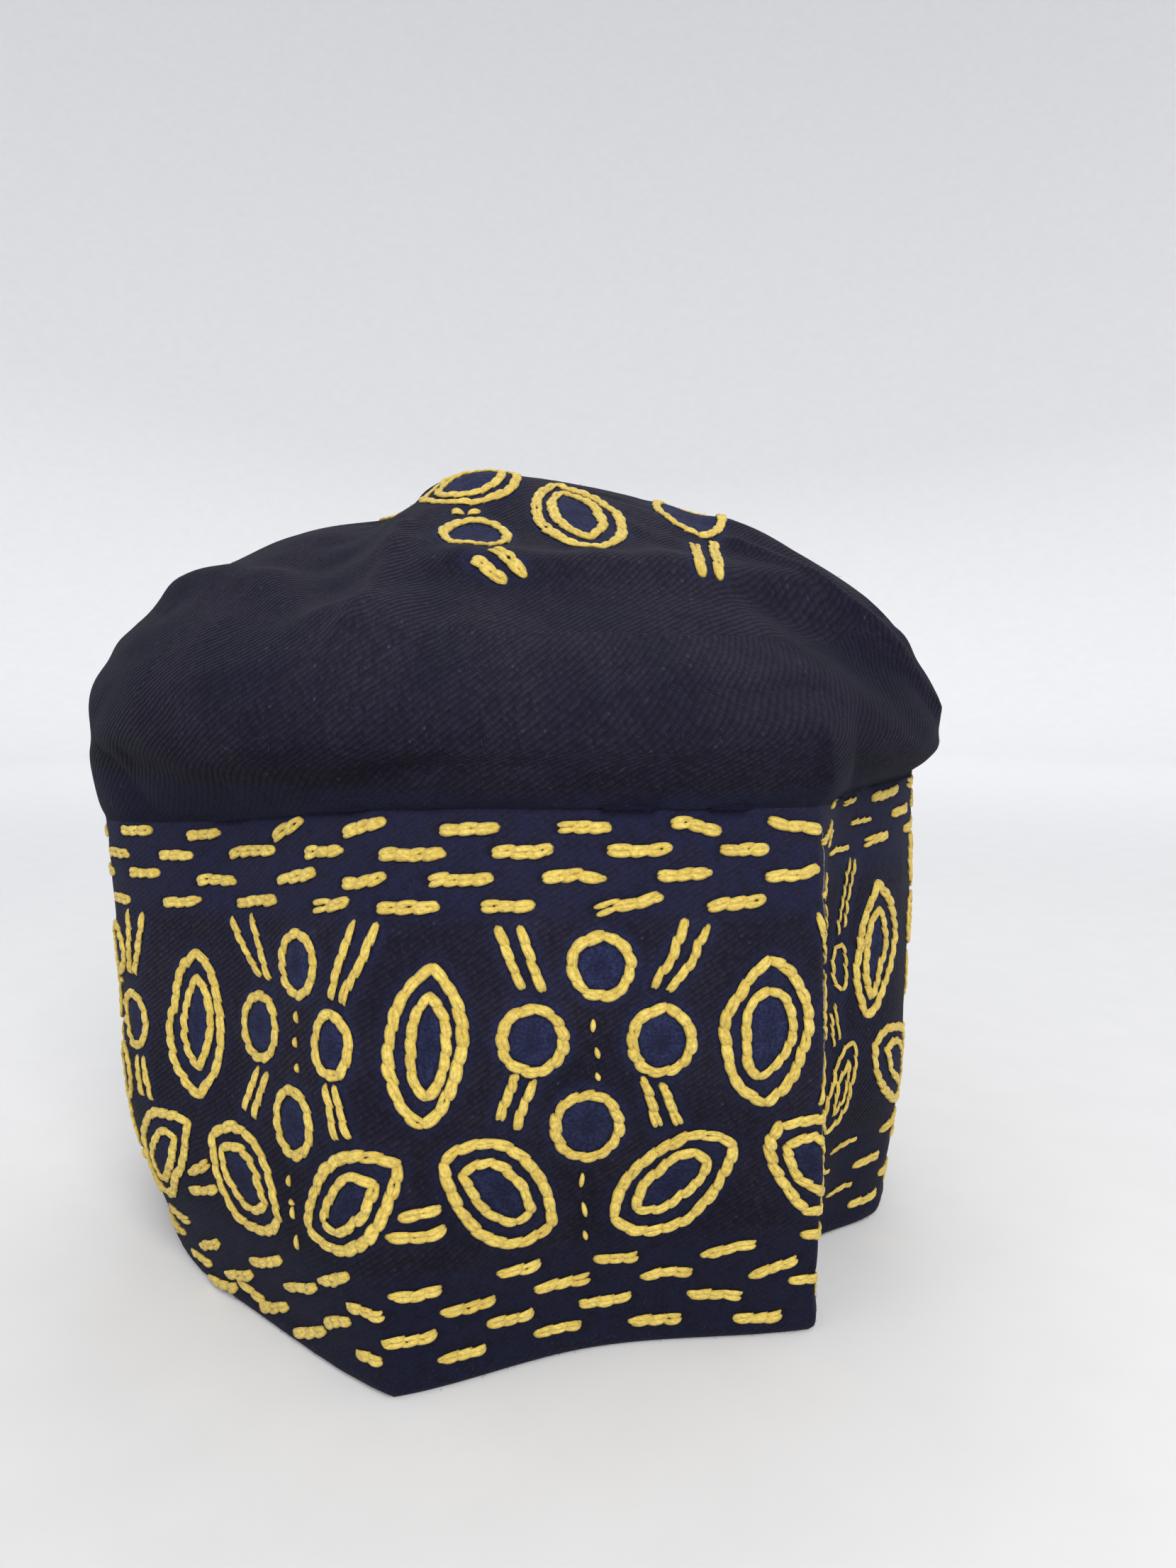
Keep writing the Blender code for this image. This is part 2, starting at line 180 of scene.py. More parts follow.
def hermite(p1, p2, m1, m2, t):
    """The smooth span from p1 to p2 that starts along m1 and ends along m2."""
    h1 = 2 * t**3 - 3 * t**2 + 1
    h2 = -2 * t**3 + 3 * t**2
    h3 = t**3 - 2 * t**2 + t
    h4 = t**3 - t**2
    return h1 * p1 + h2 * p2 + h3 * m1 + h4 * m2


def through(p0, p1, p2, p3, t):
    """The span from p1 to p2 of a smooth curve through four points."""
    return hermite(p1, p2, (p2 - p0) / 2, (p3 - p1) / 2, t)


def unit(v):
    return v / np.maximum(np.linalg.norm(v, axis=-1, keepdims=True), 1e-12)


def smooth_step(t):
    t = np.clip(t, 0, 1)
    return t**2 * (3 - 2 * t)


def run_along(points):
    """How far along a line of points each of them lies."""
    return np.concatenate([[0], np.cumsum(np.linalg.norm(np.diff(points, axis=0), axis=1))])


def read_line(at, run, points):
    """A line of points, read at distances along it."""
    return np.stack([np.interp(at, run, column) for column in points.T], axis=-1)


def full_turn(count):
    """Evenly spaced angles round a full turn."""
    return np.linspace(0, 2 * math.pi, count, endpoint=False)


def round_cap(count):
    """Evenly spaced places round the cap, in repeats."""
    return np.arange(count) / count * REPEATS


def between(low, low_beside, high, high_beside, s, t):
    """Four samples, read s of the way across and t of the way up."""
    low = low * (1 - s) + low_beside * s
    high = high * (1 - s) + high_beside * s
    return low * (1 - t) + high * t


def wall_outline(level):
    """One level's closed outline: (pattern places, points), evenly stretched to REPEATS."""
    roundness = [
        row[5] + (row[6] - row[5]) * level / (len(WALL_LEVELS) - 1) for row in WALL_CORNERS
    ]
    top = WALL_LEVELS[-1]
    share = WALL_LEVELS[level] / top
    corners = [(*row[1 + level], share * (top - row[7])) for row in WALL_CORNERS]
    corners = np.array(corners, float) * MM
    chords = np.roll(corners, -1, axis=0) - corners
    lengths = np.linalg.norm(chords, axis=1)
    ways = unit(chords)
    tangents = unit(ways + np.roll(ways, 1, axis=0))
    t = np.linspace(0, 1, CURVE_STEPS, endpoint=False)[:, None]
    points = []
    for i, length in enumerate(lengths):
        j = (i + 1) % len(corners)
        start = length * (roundness[i] * tangents[i] + (1 - roundness[i]) * ways[i])
        end = length * (roundness[j] * tangents[j] + (1 - roundness[j]) * ways[i])
        points.append(hermite(corners[i], corners[j], start, end, t))
    points = np.concatenate(points + [corners[:1]])
    run = run_along(points)
    return run / run[-1] * REPEATS, points


WALL_OUTLINES = [wall_outline(level) for level in range(len(WALL_LEVELS))]


def wall(place, height):
    """Outer surface of the side wall. place counts repeats round the cap."""
    turn = np.mod(np.asarray(place, float) - FRONT_CREASE_AT, REPEATS)
    levels = [read_line(turn, run, points) for run, points in WALL_OUTLINES]
    levels = [2 * levels[0] - levels[1], *levels, 2 * levels[-1] - levels[-2]]
    at = np.interp(height, np.array(WALL_LEVELS) * MM, range(len(WALL_LEVELS)))
    low = np.clip(np.floor(at).astype(int), 0, len(WALL_LEVELS) - 2)
    t = (at - low)[..., None]
    stack = np.stack(levels)
    before, here, after, beyond = (
        np.take_along_axis(stack, (low + k)[None, ..., None], axis=0)[0] for k in range(4)
    )
    return through(before, here, after, beyond, t)


def crown_base(bearing, row):
    """The crown's plain surface, before its folds. row counts down from the peak."""
    turn = np.mod(np.asarray(bearing, float) - CROWN_SECTIONS[0][0], 360) / SECTION_ANGLE
    low = np.floor(turn).astype(int)
    t = (turn - low)[..., None]
    count = len(CROWN_SECTIONS)
    p0, p1, p2, p3 = (
        profile_at(np.mod(low + k, count), np.clip(row, 0, len(CROWN_ROWS) - 1)) for k in (-1, 0, 1, 2)
    )
    ring = through(p0, p1, p2, p3, t)
    angle = np.radians(bearing)
    return np.stack([ring[..., 0] * np.cos(angle), ring[..., 0] * np.sin(angle), ring[..., 1]], axis=-1)


def profile_at(section, row):
    """Radius and height of numbered sections at fractional rows, on a smooth curve."""
    low = np.clip(np.floor(row).astype(int), 0, len(CROWN_ROWS) - 2)
    t = (row - low)[..., None]
    return through(*(PROFILES[section, low + k] for k in range(4)), t)


def padded_profiles():
    """Every section's points, with one more at each end so that the curve runs on smoothly."""
    rows = []
    for _, *points in CROWN_SECTIONS:
        points = np.array([PEAK, *points], float) * MM
        before = points[1] * (-1, 1)
        beyond = 2 * points[-1] - points[-2]
        rows.append([before, *points, beyond])
    return np.array(rows)


SECTION_ANGLE = 360 / len(CROWN_SECTIONS)
PROFILES = padded_profiles()
SEAM_ROW = CROWN_ROWS.index("seam")
UPPER_SIDE_ROW = CROWN_ROWS.index("upper side")
TUCK_START_ROW = CROWN_ROWS.index("tuck") - 0.5
RIM_ROW = CROWN_ROWS.index("rim")
SEAM_LAP = 0.03


def fold_rise(points):
    """How far the folds lift the crown's cloth at points of its plain surface."""
    total = np.zeros(points.shape[:-1])
    for _, places, width, rise in CROWN_FOLDS + FINE_FOLDS:
        bearings, rows = np.array(places, float).T
        line = crown_base(bearings, rows)
        gap = np.full_like(total, np.inf)
        for a, b in zip(line[:-1], line[1:]):
            t = np.clip((points - a) @ (b - a) / ((b - a) @ (b - a)), 0, 1)[..., None]
            gap = np.minimum(gap, np.linalg.norm(points - a - t * (b - a), axis=-1))
        total += rise * MM * np.exp(-((gap / (width * MM)) ** 2))
    return total


def crown(place, row):
    """Outer surface of the crown. place counts repeats, row counts rows down from the peak."""
    place = np.asarray(place, float)
    row = np.asarray(row, float)
    bearing = START_BEARING + BEARING_PER_REPEAT * place
    base = crown_base(bearing, row)
    below, above = row + SLOPE_ROW, np.maximum(row - SLOPE_ROW, 0)
    down = crown_base(bearing, below) - crown_base(bearing, above)
    off_peak = np.maximum(row, SLOPE_ROW)
    across = crown_base(bearing + 1, off_peak) - crown_base(bearing - 1, off_peak)
    balloon = base + fold_rise(base)[..., None] * unit(np.cross(down, across))
    rim = wall(place, np.full_like(place, BAND_HEIGHT))
    rim[..., 2] -= SEAM_OVERLAP
    # Where the wall's corners stand out, the crown swells to stay outside them
    radius = np.hypot(balloon[..., 0], balloon[..., 1])
    short = np.hypot(rim[..., 0], rim[..., 1]) + CROWN_OVERHANG - radius
    swell = np.maximum(short, 0) * smooth_step(row - UPPER_SIDE_ROW)
    balloon[..., :2] *= (1 + swell / np.maximum(radius, MM))[..., None]
    # Under the bulge the cloth turns in to the top of the wall
    tuck = smooth_step((row - TUCK_START_ROW) / (RIM_ROW - TUCK_START_ROW))[..., None]
    points = balloon * (1 - tuck) + rim * tuck
    points[..., 2] = np.maximum(points[..., 2], rim[..., 2])
    return points


def ripple(place, along, count, size, seed):
    """Soft random waves, periodic round the cap. along is in millimetres, size is their height."""
    rng = np.random.default_rng(seed)
    total = np.zeros(np.broadcast(place, along).shape)
    for _ in range(count):
        turns = rng.integers(*RIPPLE_TURNS)
        wave = rng.uniform(*RIPPLE_LENGTHS)
        phase, slant = rng.uniform(0, 2 * math.pi), rng.choice((-1, 1))
        strength = 1 / (1 + turns / 15)
        angle = 2 * math.pi * (turns * place / REPEATS + slant * along / wave) + phase
        total += strength * np.sin(angle)
    return size * MM * total / math.sqrt(count)


class Cloth:
    """A finely sampled cloth surface: points and outward normals over two cloth coordinates."""

    def __init__(self, points, u_span, v_span):
        """points is a grid [v, u], closed round u."""
        self.points = points
        self.count_v, self.count_u = points.shape[:2]
        self.u_span, self.v_span = u_span, v_span
        round_way = np.roll(points, -1, axis=1) - np.roll(points, 1, axis=1)
        self.normals = unit(np.cross(round_way, np.gradient(points, axis=0)))

    def with_peak(self):
        """Where the last row is all one point, its normal is the mean of those beside it."""
        self.normals[-1] = unit(self.normals[-2].mean(axis=0))
        return self

    def at(self, u, v):
        """Points and normals, read between the samples."""
        x = np.mod(u / self.u_span, 1) * self.count_u
        y = np.clip((v - self.v_span[0]) / (self.v_span[1] - self.v_span[0]), 0, 1) * (self.count_v - 1)
        column = np.floor(x).astype(int) % self.count_u
        row = np.clip(np.floor(y).astype(int), 0, self.count_v - 2)
        s, t = (x - np.floor(x))[..., None], (y - row)[..., None]
        beside = (column + 1) % self.count_u
        points, normals = (
            between(grid[row, column], grid[row, beside], grid[row + 1, column], grid[row + 1, beside], s, t)
            for grid in (self.points, self.normals)
        )
        return points, unit(normals)


# What the stitching does to cloth, as it is where there is none: how much filling there is, the
# distance to the yarn, the depth inside a filling, and the place from the filling's middle
PLAIN_CLOTH = {"fill": 0.0, "gap": 9.0, "depth": 0.0, "from_x": 1.0, "from_y": 0.0}
STRAND_REACH, FAR, TINY = 6.0, 99.0, 1e-9


def gap_to_run(x, y, a, b):
    """The distance from flat positions to a straight run from a to b."""
    way = b - a
    t = np.clip(((x - a[0]) * way[0] + (y - a[1]) * way[1]) / max(way @ way, TINY), 0, 1)
    return np.hypot(x - a[0] - t * way[0], y - a[1] - t * way[1])


class Pattern:
    """Flat grids of what the stitching does to the cloth, by the names in PLAIN_CLOTH."""

    def __init__(self, low, high, closed):
        self.low, self.closed = np.array(low, float), closed
        self.shape = tuple(int(round((b - a) / MAP_STEP)) + (0 if closed and i == 0 else 1)
                           for i, (a, b) in enumerate(zip(low, high)))
        self.grids = {name: np.full(self.shape, value) for name, value in PLAIN_CLOTH.items()}

    def window(self, low, high):
        """Index arrays and flat positions of the samples between two corners."""
        first = np.floor((low - self.low) / MAP_STEP).astype(int)
        last = np.ceil((high - self.low) / MAP_STEP).astype(int)
        i, j = np.arange(first[0], last[0] + 1), np.arange(first[1], last[1] + 1)
        j = j[(j >= 0) & (j < self.shape[1])]
        if not self.closed:
            i = i[(i >= 0) & (i < self.shape[0])]
        x = self.low[0] + i * MAP_STEP
        y = self.low[1] + j * MAP_STEP
        return np.ix_(i % self.shape[0], j), x[:, None], y[None, :]

    def add_strand(self, a, b):
        """Stamps the distance to a run of yarn from a to b."""
        at, x, y = self.window(np.minimum(a, b) - STRAND_REACH, np.maximum(a, b) + STRAND_REACH)
        gap = self.grids["gap"]
        gap[at] = np.minimum(gap[at], gap_to_run(x, y, a, b))

    def add_fill(self, outline, soft, amount):
        """Stamps filling stitches inside a closed outline, running out over soft millimetres."""
        outline = np.array(outline, float)
        at, x, y = self.window(outline.min(axis=0) - 2 * soft, outline.max(axis=0) + 2 * soft)
        inside = np.zeros(np.broadcast(x, y).shape, bool)
        gap = np.full(inside.shape, FAR)
        for a, b in zip(outline, np.roll(outline, -1, axis=0)):
            way = b - a
            rise = way[1] if abs(way[1]) > TINY else TINY
            inside ^= ((a[1] > y) != (b[1] > y)) & (x < a[0] + (y - a[1]) / rise * way[0])
            gap = np.minimum(gap, gap_to_run(x, y, a, b))
        strength = amount * smooth_step(1 - np.where(inside, -gap, gap) / soft)
        # The filling stitches run in from the rim, so each sample keeps its place from their middle
        middle = outline.mean(axis=0)
        depth = gap * inside / np.max(gap, where=inside, initial=0.1)
        fill = self.grids["fill"]
        stronger = strength > fill[at]
        for name, value in (("depth", depth), ("from_x", x - middle[0]), ("from_y", y - middle[1])):
            grid = self.grids[name]
            grid[at] = np.where(stronger, value, grid[at])
        fill[at] = np.maximum(fill[at], strength)

    def at(self, x, y, name):
        """One of the grids, read at flat positions."""
        grid = self.grids[name]
        i = (x - self.low[0]) / MAP_STEP
        j = np.clip((y - self.low[1]) / MAP_STEP, 0, self.shape[1] - 1.001)
        if not self.closed:
            i = np.clip(i, 0, self.shape[0] - 1.001)
        i0, j0 = np.floor(i).astype(int), np.floor(j).astype(int)
        s, t = i - i0, j - j0
        i0, i1 = i0 % self.shape[0], (i0 + 1) % self.shape[0]
        return between(grid[i0, j0], grid[i1, j0], grid[i0, j0 + 1], grid[i1, j0 + 1], s, t)

    def values(self, x, y):
        """All the grids, read at flat positions, for the cloth's material."""
        return {name: self.at(x, y, name) for name in self.grids}


class Yarn:
    """Chain links and single strands, gathered in flat cloth coordinates in millimetres."""

    def __init__(self, seed):
        self.links = []
        self.strands = []
        self.rng = np.random.default_rng(seed)

    def chain(self, nodes, width, closed=False):
        """A row of links through nodes. An open row starts forked or blunt and ends in a small tail."""
        nodes = nodes + self.rng.normal(0, NODE_JITTER, nodes.shape)
        count = len(nodes) if closed else len(nodes) - 1
        last_way = nodes[-1] - nodes[-2]
        beyond = nodes[:2] if closed else [nodes[-1] + last_way]
        stops = [*nodes, *beyond]
        for i in range(count):
            fork = POINTED
            if i == 0 and not closed:
                fork = FORKED if self.rng.random() < FORK_SHARE else BLUNT
            way, after = stops[i + 1] - stops[i], stops[i + 2] - stops[i + 1]
            bend = math.atan2(way[0] * after[1] - way[1] * after[0], way @ after)
            end = stops[i + 1]
            if abs(bend) > SHARPEST_BEND:
                bend = 0.0
                end = stops[i] + TIP_SHORTENING * way
            self.link(stops[i], end, width, fork, bend=bend)
        if not closed:
            end = nodes[-1] + last_way * self.rng.uniform(*TAIL_LENGTHS)
            self.link(nodes[-1], end, width * TAIL_WIDTH, TAIL_START, low=TAIL_RISE)

    def link(self, a, b, width, fork, low=1.0, bend=0.0):
        """One link from a to b, a little uneven in its size, lean and rise."""
        rng = self.rng
        eye = rng.uniform(0.4, 1) if rng.random() < EYE_SHARE else 0
        turn = rng.normal(LINK_LEAN, LEAN_JITTER)
        way = b - a
        a = a + turn / 2 * np.array([way[1], -way[0]])
        way = np.array([way[0] - turn * way[1], way[1] + turn * way[0]])
        length = np.linalg.norm(way) * LINK_OVERLAP * rng.normal(1, SIZE_JITTER)
        strand = min(STRAND * rng.normal(1, SIZE_JITTER), width / LEAST_STRAND_SHARE)
        self.links.append((
            *a, *unit(way), length, width * rng.normal(1, SIZE_JITTER), strand,
            fork, low * rng.normal(1, RISE_JITTER), rng.random(), rng.normal(0, RISE_JITTER), bend, eye,
        ))

    def stitch(self, a, b):
        """One short strand of yarn that dives into the cloth at both ends."""
        a = np.array(a) + self.rng.normal(0, STITCH_LEAN, 2) * (1, 0.3)
        self.strands.append((*a, *b, self.rng.random()))


def closed_way(centre):
    """The direction along closed rings of points."""
    return unit(np.roll(centre, -1, axis=1) - np.roll(centre, 1, axis=1))


def tube_ring(side, up, sides, flatness=1.0):
    """The section of a tube, one unit wide, at each point of its middle line."""
    turn = full_turn(sides)
    return side[:, :, None] * np.cos(turn)[:, None] + flatness * up[:, :, None] * np.sin(turn)[:, None]


def link_points(links):
    """Points, rise and length of yarn of every link: flat x, y and rise, in millimetres."""
    start_x, start_y, way_x, way_y, length, width, strand, fork, low, _, lean, bend, eye = (
        column[:, None] for column in np.array(links, float).T
    )
    angle = full_turn(LINK_STEPS)[None, :]
    share = (1 - np.cos(angle)) / 2
    along = length * share
    power = fork * (1 - share) + BLUNT * share
    sine = np.sin(angle)
    opening = np.clip(2 - 2.5 * fork, 0, 1) * (1 - share) ** 2
    eye = eye * np.exp(-(((share - EYE_AT) / EYE_LENGTH) ** 2))
    spread, heights, thickness = (
        np.interp(share, *np.array(table).T) for table in (LINK_SPREAD, LINK_PROFILE, LINK_THICKNESS)
    )
    spread = spread + FORK_SPREAD * opening + EYE_SPREAD * eye
    across = (width / 2 - strand) * spread * np.sign(sine) * np.abs(sine) ** power
    across = across + bend / 2 * along * (along * LINK_OVERLAP / length - 1)
    rise = low * heights * (1 + lean * np.sign(sine) * np.abs(sine))
    centre = np.stack([along, across, rise], axis=-1)
    way = closed_way(centre)
    side = unit(np.cross(way, [0, 0, 1.0]))
    thickness = strand * thickness * (1 - FORK_THINNING * opening) * (1 - EYE_THINNING * eye)
    ring = tube_ring(side, np.cross(side, way), LINK_SIDES, STRAND_FLATNESS)
    points = centre[:, :, None] + thickness[..., None, None] * ring
    x = start_x[..., None] + points[..., 0] * way_x[..., None] - points[..., 1] * way_y[..., None]
    y = start_y[..., None] + points[..., 0] * way_y[..., None] + points[..., 1] * way_x[..., None]
    run = np.linalg.norm(np.roll(centre, -1, axis=1) - centre, axis=-1)
    run = np.concatenate([np.zeros((len(links), 1)), np.cumsum(run, axis=1)], axis=1)
    return x, y, points[..., 2], run


def grid_quads(rows, columns, closed_rows=False):
    """Quads of a grid of points that is closed round its columns, with each quad's row and column."""
    i, j = np.meshgrid(np.arange(rows if closed_rows else rows - 1), np.arange(columns), indexing="ij")
    here, above = i * columns, (i + 1) % rows * columns
    beside = (j + 1) % columns
    quads = np.stack([here + j, here + beside, above + beside, above + j], axis=-1)
    return quads.reshape(-1, 4), i, j


def fan(middle, first, count, turned=False):
    """Triangles from a middle point to a ring of points, by number."""
    k = np.arange(count)
    ring = first + k, first + (k + 1) % count
    return np.stack([np.full(count, middle), *ring[:: -1 if turned else 1]], axis=-1)


def repeated(faces, count, size):
    """The faces of a shape of size points, for count such shapes."""
    return (faces[None] + (np.arange(count) * size)[:, None, None]).reshape(-1, faces.shape[1])


def torus_quads(count, steps, sides):
    return repeated(grid_quads(steps, sides, closed_rows=True)[0], count, steps * sides)


def add_object(name, data):
    obj = bpy.data.objects.new(name, data)
    bpy.context.scene.collection.objects.link(obj)
    return obj


def mesh_object(name, points, faces, material, uv=None, values=()):
    """An object from arrays of points and of quads or triangles, with a UV map and point values."""
    mesh = bpy.data.meshes.new(name)
    faces = [np.asarray(block, int) for block in faces]
    mesh.vertices.add(len(points))
    mesh.vertices.foreach_set("co", np.asarray(points, np.float32).ravel())
    corners = np.concatenate([block.ravel() for block in faces]).astype(np.int32)
    sizes = np.concatenate([np.full(len(block), block.shape[1]) for block in faces])
    starts = np.concatenate([[0], np.cumsum(sizes)[:-1]]).astype(np.int32)
    mesh.loops.add(len(corners))
    mesh.loops.foreach_set("vertex_index", corners)
    mesh.polygons.add(len(sizes))
    mesh.polygons.foreach_set("loop_start", starts)
    mesh.update(calc_edges=True)
    if uv is not None:
        layer = mesh.uv_layers.new(name="cloth")
        layer.data.foreach_set("uv", np.asarray(uv, np.float32).ravel())
    for key, data in dict(values).items():
        layer = mesh.attributes.new(key, "FLOAT", "POINT")
        layer.data.foreach_set("value", np.asarray(data, np.float32).ravel())
    mesh.shade_smooth()
    mesh.materials.append(material)
    return add_object(name, mesh)


def yarn_object(name, yarn, place_on, material):
    """The links and strands of one piece, laid on the cloth by place_on(x, y) -> points, normals."""
    x, y, rise, run = link_points(yarn.links)
    points, normals = place_on(x, y)
    points = points + normals * (rise * MM)[..., None]
    tone = np.repeat([link[9] for link in yarn.links], LINK_STEPS * LINK_SIDES)
    # Yarn coordinates at a quad's corners: millimetres along the strand, turns round it
    _, i, j = grid_quads(LINK_STEPS, LINK_SIDES, closed_rows=True)
    i, j = i.ravel(), j.ravel()
    u = np.stack([run[:, i], run[:, i], run[:, i + 1], run[:, i + 1]], axis=-1)
    v = np.broadcast_to(np.stack([j, j + 1, j + 1, j], axis=-1) / LINK_SIDES, u.shape)
    uv = np.stack([u, v], axis=-1).reshape(-1, 2)
    quads = torus_quads(len(yarn.links), LINK_STEPS, LINK_SIDES)
    parts = [(points.reshape(-1, 3), quads, uv, rise.ravel(), tone)]
    if yarn.strands:
        points, quads, *rest = strand_parts(yarn.strands, place_on)
        parts.append((points, quads + len(parts[0][0]), *rest))
    points, quads, uv, rises, tones = (np.concatenate(arrays) for arrays in zip(*parts))
    return mesh_object(name, points, [quads], material, uv, {"rise": rises, "tone": tones})


STITCH_STEPS = 8
STITCH_STRAND = 0.5
STITCH_LEAN = 0.35


def strand_parts(strands, place_on):
    """Short single strands: an arch of tube whose two ends meet under the cloth."""
    ax, ay, bx, by, tone = np.array(strands, float).T
    start, end = np.stack([ax, ay], axis=-1), np.stack([bx, by], axis=-1)
    steps = 2 * STITCH_STEPS
    angle = full_turn(steps)
    share = (1 - np.cos(angle)) / 2
    rise = np.where(angle < math.pi, 0.4, -0.9) * np.abs(np.sin(angle)) ** 0.6 - 0.1
    flat = start[:, None] + (end - start)[:, None] * share[None, :, None]
    centre = np.concatenate([flat, np.broadcast_to(rise[None, :, None], (*flat.shape[:2], 1))], axis=-1)
    way = closed_way(centre)
    side = unit(np.concatenate([end - start, np.zeros((len(start), 1))], axis=-1))
    side = np.stack([-side[:, 1], side[:, 0], side[:, 2]], axis=-1)[:, None]
    side = np.broadcast_to(side, way.shape)
    ring = tube_ring(side, np.cross(side, way), LINK_SIDES)
    thickness = STITCH_STRAND * (0.45 + 0.55 * np.sin(math.pi * share) ** 0.7)
    points = centre[:, :, None] + thickness[None, :, None, None] * ring
    lifted, normals = place_on(points[..., 0], points[..., 1])
    lifted = lifted + normals * (points[..., 2] * MM)[..., None]
    quads = torus_quads(len(start), steps, LINK_SIDES)[:, ::-1]
    tones = np.repeat(tone, steps * LINK_SIDES)
    return lifted.reshape(-1, 3), quads, np.zeros((quads.size, 2)), points[..., 2].ravel(), tones


def smooth_line(points):
    """A fine smooth curve through points, free at both ends."""
    points = np.array(points, float)
    padded = [2 * points[0] - points[1], *points, 2 * points[-1] - points[-2]]
    t = np.linspace(0, 1, CURVE_STEPS, endpoint=False)[:, None]
    spans = [through(*four, t) for four in zip(padded, padded[1:], padded[2:], padded[3:])]
    return np.concatenate(spans + [points[-1:]])


def evenly(points, spacing):
    """Evenly spaced points along a fine curve, its two ends among them."""
    run = run_along(points)
    return read_line(np.linspace(0, run[-1], max(int(round(run[-1] / spacing)), 1) + 1), run, points)


def ring_nodes(centre, across, tall, width, spacing):
    """Nodes of a ring of yarn, given its outer diameters."""
    angle = np.linspace(0, 2 * math.pi, 6 * CURVE_STEPS + 1) + RING_START
    x, y = (across - width) / 2 * np.cos(angle), (tall - width) / 2 * np.sin(angle)
    return evenly(np.stack([centre[0] + x, centre[1] + y], axis=-1), spacing)[:-1]


def leaf_nodes(tip, side, other, other_side, width, spacing):
    """Nodes of a leaf of yarn from its outer edge: tip, one side, other tip, the other side."""
    middle = np.mean([tip, *side, other, *other_side], axis=0)
    nodes = []
    for points in ((tip, *side, other), (other, *other_side, tip)):
        edge = smooth_line(points) - middle
        reach = np.linalg.norm(edge, axis=1, keepdims=True)
        nodes.append(evenly(middle + edge * (1 - width / 2 / reach), spacing)[:-1])
    return np.concatenate(nodes)


def stroke_nodes(start, end, bow, spacing):
    """Nodes of a single row of links from start to end, bowed sideways in its middle."""
    start, end = np.array(start, float), np.array(end, float)
    way = unit(end - start)
    middle = (start + end) / 2 + bow * np.array([-way[1], way[0]])
    return evenly(smooth_line([start, middle, end]), spacing)


# The motifs of a repeat, sewn by hand in a few versions: outer edges in millimetres from its start
RINGS = (
    # name, then centre x, height, across and tall in each version
    ("top ring", (31.2, 76.7, 11.4, 13.4), (30.3, 77.1, 12.0, 12.6), (30.5, 77.0, 11.8, 12.8),
     (30.0, 74.5, 11.6, 13.0), (34.6, 76.9, 11.4, 13.2)),
    ("left ring", (19.2, 63.8, 12.6, 14.0), (18.4, 64.2, 12.6, 13.5), (18.6, 64.0, 12.6, 13.5),
     (18.4, 61.5, 12.6, 13.5), (27.0, 64.2, 10.4, 13.6)),
    ("right ring", (40.6, 63.3, 10.4, 12.8), (40.4, 63.2, 12.5, 14.3), (50.6, 59.8, 6.4, 12.8),
     (38.0, 60.2, 11.5, 13.5), (43.3, 63.3, 9.6, 12.8)),
    ("bottom ring", (29.8, 48.0, 11.8, 13.6), (27.2, 47.2, 13.5, 14.8), (28.0, 47.5, 12.8, 14.0),
     (28.0, 45.0, 12.8, 14.0), (34.6, 48.0, 10.8, 13.6)),
)
STROKES = (
    # name, then start, end and bow in each version
    ("upper left, outer", ((19, 73.2), (11.8, 83.6), 0.7), ((17.1, 73.6), (13.6, 83.1), 0.2),
     ((17.5, 73.5), (12.5, 83.3), 0.4), ((17.5, 71.5), (12.5, 81.8), 0.4),
     ((26.8, 73.2), (22.6, 83.6), 0.5)),
    ("upper left, inner", ((22, 72.8), (17.5, 83.6), 0.2), ((20.3, 72.7), (17.1, 83.3), 0),
     ((20.8, 72.8), (17, 83.4), 0), ((20.8, 71), (17, 82), 0), ((29.2, 72.4), (26.4, 83.6), 0.2)),
    ("upper right, inner", ((40.2, 71.2), (44.6, 83.3), 0), ((39, 72.8), (44.7, 83.4), -0.4),
     ((49.6, 67.8), (49.2, 82.6), 0), ((36.8, 69.5), (40.0, 82.5), 0), ((41.2, 71.2), (45.6, 83.3), 0)),
    ("upper right, outer", ((42.8, 70.6), (49.3, 83.5), -0.6), ((41.5, 72.1), (48.2, 82.4), -0.8),
     ((52.0, 68.4), (51.6, 82.4), 0), ((39.4, 69.5), (44.0, 82.8), 0), ((43.8, 70.6), (50.2, 83.5), -0.6)),
    ("lower left, outer", ((13.7, 47.0), (18, 54.8), 0), ((11.8, 49.6), (15, 57.2), 0),
     ((12.5, 48.5), (16, 56), 0), ((12.5, 46), (16, 53.5), 0), ((23.6, 47), (26.2, 54.8), 0)),
    ("lower left, inner", ((16.8, 46.2), (21, 54.5), 0), ((14.7, 47.8), (17.6, 55.4), 0),
     ((15.5, 47), (19, 55), 0), ((15.5, 44.5), (19, 52.5), 0), ((26.4, 46.4), (28.8, 54.5), 0)),
    ("lower right, inner", ((40.8, 47), (39.4, 55), 0), ((39.8, 45.8), (37.7, 54.8), 0),
     ((45.0, 42.8), (46.3, 50.8), 0), ((40.0, 43.5), (38.2, 51.5), 0), ((41.6, 47), (40.4, 55), 0)),
    ("lower right, outer", ((43.8, 47.8), (41.6, 55), 0), ((43.3, 46.1), (41, 53.8), 0),
     ((47.6, 44.8), (48.4, 51.4), 0), ((43.6, 43.8), (41.2, 51.8), 0), ((44.6, 47.8), (42.6, 55), 0)),
)
